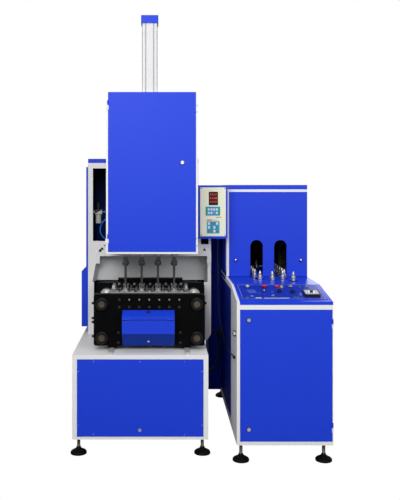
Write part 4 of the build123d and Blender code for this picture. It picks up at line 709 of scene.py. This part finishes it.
# Control panel: printed fields as (left, right), (low, high), and rows of four tiles each
PRINT_LIFT = 0.4
DISPLAY_WINDOW = ((337, 390), (1281, 1359))
DISPLAY_ROWS = (1343, 1322, 1301)
ORANGE_BAR = (1, 3)
UPPER_KEYPAD = ((319, 402), (1221, 1273))
UPPER_KEYPAD_SIDES = [((319, 327), (1225, 1269)), ((394, 402), (1225, 1269))]
UPPER_KEY_ROWS = (1257, 1237)
PINK_KEY = (1, 2)
LOWER_KEYPAD = ((326, 399), (1119, 1189))
LOWER_KEY_ROWS = (1176, 1154, 1132)
LOWER_KEY_COLOURS = [white_print, green_print, brown_print, white_print, green_print]
KEY_PITCH = 15.5
PANEL_MARKS = [("yellow_mark", yellow_lens, (378, 409), (1209, 1215)),
               ("red_strip", red_print, (325, 354), (1193, 1199)),
               ("pale_strip", cream, (356, 392), (1193, 1199))]
PANEL_SCREW_CORNERS = [(294, 1378), (430, 1378), (294, 1109), (430, 1109)]


def panel_tile(name, material, x_range, z_range, lift=0.0):
    """A printed field on the control panel, given by its edges."""
    across = x_range[1] - x_range[0]
    tall = z_range[1] - z_range[0]
    middle = ((x_range[0] + x_range[1]) / 2, (z_range[0] + z_range[1]) / 2)
    on_face(name, "machine", material, slab(across, tall, 0.4), middle[0], PANEL_FACE - lift, middle[1])


def tile_rows(name, rows, first_left, pitch, width, half_height, colour_of):
    """Rows of four raised tiles, coloured by colour_of(row, column)."""
    for row, z in enumerate(rows):
        for column in range(4):
            left = first_left + column * pitch
            panel_tile("%s_%d_%d" % (name, row, column), colour_of(row, column), (left, left + width),
                       (z - half_height, z + half_height), PRINT_LIFT)


def bar_colour(row, column):
    return orange_print if (row, column) == ORANGE_BAR else red_print


def upper_key_colour(row, column):
    return pink_print if (row, column) == PINK_KEY else white_print


def lower_key_colour(row, column):
    return LOWER_KEY_COLOURS[(row * 3 + column) % len(LOWER_KEY_COLOURS)]


def control_panel_details():
    """Display with lit bars, two keypads, small marks and the corner screws."""
    panel_tile("display_window", dark_window, *DISPLAY_WINDOW)
    tile_rows("display_bar", DISPLAY_ROWS, 344, 10.5, 7, 5, bar_colour)
    panel_tile("keypad_upper", sky, *UPPER_KEYPAD)
    for side, (x_range, z_range) in enumerate(UPPER_KEYPAD_SIDES):
        panel_tile("keypad_upper_side_%d" % side, green_print, x_range, z_range, PRINT_LIFT)
    tile_rows("key_upper", UPPER_KEY_ROWS, 332, KEY_PITCH, 10, 6, upper_key_colour)
    for name, material, x_range, z_range in PANEL_MARKS:
        panel_tile(name, material, x_range, z_range)
    panel_tile("keypad_lower", sky, *LOWER_KEYPAD)
    tile_rows("key_lower", LOWER_KEY_ROWS, 333, KEY_PITCH, 11, 7, lower_key_colour)
    for corner, (x, z) in enumerate(PANEL_SCREW_CORNERS):
        on_face("panel_corner_screw_%d" % corner, "machine", dull_steel, stud(3, 0.8, 0.8), x,
                PANEL_FACE, z)


# Console plate: its edges across and along the slope; labels as name, finish, place, size and turn;
# studs as place, radius and finish; caps as name, finish, place, (radius, height, dome) and lift
PLATE_ACROSS = (29.0, 462.0)
PLATE_ALONG = (-63.0, 194.0)
LINE_INSET = 6
LINE_WIDTH = 1.6
LABELS = [
    ("sticker", sticker, (97, 72), (42, 60), 8),
    ("cream_label", cream, (116, -40), (30, 16), 0),
    ("small_label", pale_print, (88, -9), (16, 7), -8),
    ("long_strip", pale_print, (209, -43), (128, 13), 0),
    ("long_strip_text", cream, (196, -43), (64, 6), 0),
    ("dark_line", black_plastic, (150, 20), (44, 3), 12),
    ("slanted_mark", pale_print, (345, 14), (5, 22), -28),
    ("green_dot_wide", green_print, (306, -36), (30, 11), 0),
    ("regulator_line", sticker, (396, -52), (64, 3), 0),
]
PLATE_STUDS = [(202, 62, 5, green_print), (190, -6, 6, brown_print), (199, 4, 4, cream),
               (130, 33, 3.5, green_print), (66, -33, 4, brown_print)]
CAPS = [
    ("toggle_tip", bright_steel, (160, 60), (3.6, 6, 3), 5),
    ("red_cap", red_lens, (240, 141), (11, 5, 4), 4),
    ("yellow_cap", yellow_lens, (265, 141), (8, 4, 3), 4),
    ("start_cap", label_grey, (83, 141), (8.5, 0.5, 4), 10),
]
REGULATOR_ACROSS = 396
REGULATOR_HEIGHT = 14
DIAL_Y = 14
DIAL_TICKS = 9
DIAL_START, DIAL_STEP = -45, 33.75
TICK_RADIUS = 22


def plate_edge_line():
    """A pale line round the plate, a little inside its edge."""
    middle_across = sum(PLATE_ACROSS) / 2
    middle_y = sum(PLATE_ALONG) / 2
    wide_side = PLATE_ACROSS[1] - PLATE_ACROSS[0] - 2 * LINE_INSET
    long_side = (PLATE_ALONG[1] - PLATE_ALONG[0] - 2 * LINE_INSET) * 1.01
    sides = [(middle_across, PLATE_ALONG[0] + LINE_INSET, wide_side, LINE_WIDTH),
             (middle_across, PLATE_ALONG[1] - LINE_INSET, wide_side, LINE_WIDTH),
             (PLATE_ACROSS[0] + LINE_INSET, middle_y, LINE_WIDTH, long_side),
             (PLATE_ACROSS[1] - LINE_INSET, middle_y, LINE_WIDTH, long_side)]
    for side, (across, y, wide, long) in enumerate(sides):
        on_plate("plate_line_%d" % side, pale_print, slab(wide, long, 0.3), across, y)


def regulator_dial():
    """Pale face, bright ring and tick marks on the power regulator."""
    top = PLATE_THICKNESS + REGULATOR_HEIGHT
    face = 0.6
    on_plate("regulator_face", label_grey, slab(68, 66, face, 0.2), REGULATOR_ACROSS, 15, top)
    on_plate("regulator_dial", bright_steel, washer(17, 10.5, 0.5), REGULATOR_ACROSS, DIAL_Y, top + face)
    for tick in range(DIAL_TICKS):
        angle = math.radians(DIAL_START + tick * DIAL_STEP)
        on_plate("regulator_tick_%d" % tick, black_plastic, slab(5, 1.2, 0.4),
                 REGULATOR_ACROSS + TICK_RADIUS * math.cos(angle), DIAL_Y + TICK_RADIUS * math.sin(angle),
                 top + face, math.degrees(angle))


def console_plate_details():
    """Edge line, labels, small studs, caps of the lamps and buttons, and the dial."""
    plate_edge_line()
    for name, material, (across, y), (wide, long), spin in LABELS:
        on_plate(name, material, slab(wide, long, 0.4), across, y, spin=spin)
    for number, (across, y, radius, material) in enumerate(PLATE_STUDS):
        on_plate("plate_stud_%d" % number, material, stud(radius, 1.2, 1.0), across, y)
    for name, material, (across, y), (radius, height, dome), lift in CAPS:
        on_plate(name, material, stud(radius, height, dome), across, y, PLATE_THICKNESS + lift)
    regulator_dial()


# Deck: the peg that stands alone in front of the arches
SPARE_PEG_X, SPARE_PEG_Y = 805, 332
SPARE_FOOT_SHIFT = 9


def spare_foot():
    """Black foot under the spare peg, as two discs side by side."""
    for number, side in enumerate((-1, 1)):
        piece("spare_foot_%d" % number, "machine", black_plastic, stud(13, 4),
              at(SPARE_PEG_X + side * SPARE_FOOT_SHIFT, SPARE_PEG_Y, DECK_TOP))


base_panel_details()
foot_threads()
box_gland()
door_details()
heater_details()
platen_cover_details()
front_platen_details()
for side, body, tall in MOULD_HALVES:
    mould_half_details(side, body, tall)
mould_edge_highlight()
tower_details()
control_panel_details()
console_plate_details()
spare_foot()

# Stage, light and camera
CAMERA_PLACE = (56.7, -3597, 1386)
AMBIENT_STRENGTH = 0.26


def area_light(name, place, target, size, power):
    """A rectangular light that looks at a target, in metres."""
    light = bpy.data.lights.new(name, "AREA")
    light.shape = "RECTANGLE"
    light.size, light.size_y = size
    light.energy = power
    lamp = bpy.data.objects.new(name, light)
    lamp.location = place
    lamp.rotation_euler = (Vector(target) - Vector(place)).to_track_quat("-Z", "Y").to_euler()
    scene.collection.objects.link(lamp)


def floor_material():
    """Plain white to the camera, and a pale matt floor to everything else."""
    material = surface("floor_white", (0.25, 0.25, 0.25), 0.8, spread=0.005, grain=2, bump=0.0)
    tree = material.node_tree
    glow = tree.nodes.new("ShaderNodeEmission")
    glow.inputs["Color"].default_value = (1, 1, 1, 1)
    path = tree.nodes.new("ShaderNodeLightPath")
    blend = tree.nodes.new("ShaderNodeMixShader")
    tree.links.new(path.outputs["Is Camera Ray"], blend.inputs["Fac"])
    tree.links.new(tree.nodes["Principled BSDF"].outputs["BSDF"], blend.inputs[1])
    tree.links.new(glow.outputs["Emission"], blend.inputs[2])
    tree.links.new(blend.outputs["Shader"], tree.nodes["Material Output"].inputs["Surface"])
    return material


def white_room():
    """A world that is white to the camera and a soft fill to everything else."""
    world = bpy.data.worlds.new("studio")
    scene.world = world
    world.use_nodes = True
    tree = world.node_tree
    background = tree.nodes["Background"]
    background.inputs["Color"].default_value = (1, 1, 1, 1)
    path = tree.nodes.new("ShaderNodeLightPath")
    strength = tree.nodes.new("ShaderNodeMapRange")
    strength.inputs["To Min"].default_value = AMBIENT_STRENGTH
    strength.inputs["To Max"].default_value = 1.0
    tree.links.new(path.outputs["Is Camera Ray"], strength.inputs["Value"])
    tree.links.new(strength.outputs["Result"], background.inputs["Strength"])


bpy.ops.mesh.primitive_plane_add(size=40, location=(0, 0, 0))
floor = bpy.context.object
floor.name = "floor"
floor.data.materials.append(floor_material())

area_light("key", (-1.0, -3.5, 2.8), (0, 0, 1.7), (2.0, 2.0), 90)
area_light("fill", (2.0, -3.8, 2.2), (0.2, 0, 1.2), (2.0, 2.0), 54)
area_light("top", (0, -0.4, 5.0), (0, 0, 0), (4.0, 4.0), 60)
area_light("back", (0.6, 4.4, 2.6), (0, 0, 1.1), (2.5, 2.5), 70)
white_room()

camera_data = bpy.data.cameras.new("camera")
camera_data.lens = 50.4
camera_data.sensor_width = 36
camera_data.shift_x = 0.08
camera_data.shift_y = -0.126
camera = bpy.data.objects.new("camera", camera_data)
camera.location = at(*CAMERA_PLACE)
camera.rotation_euler = (math.radians(90), 0, 0)
scene.collection.objects.link(camera)
scene.camera = camera
scene.view_settings.view_transform = "Standard"
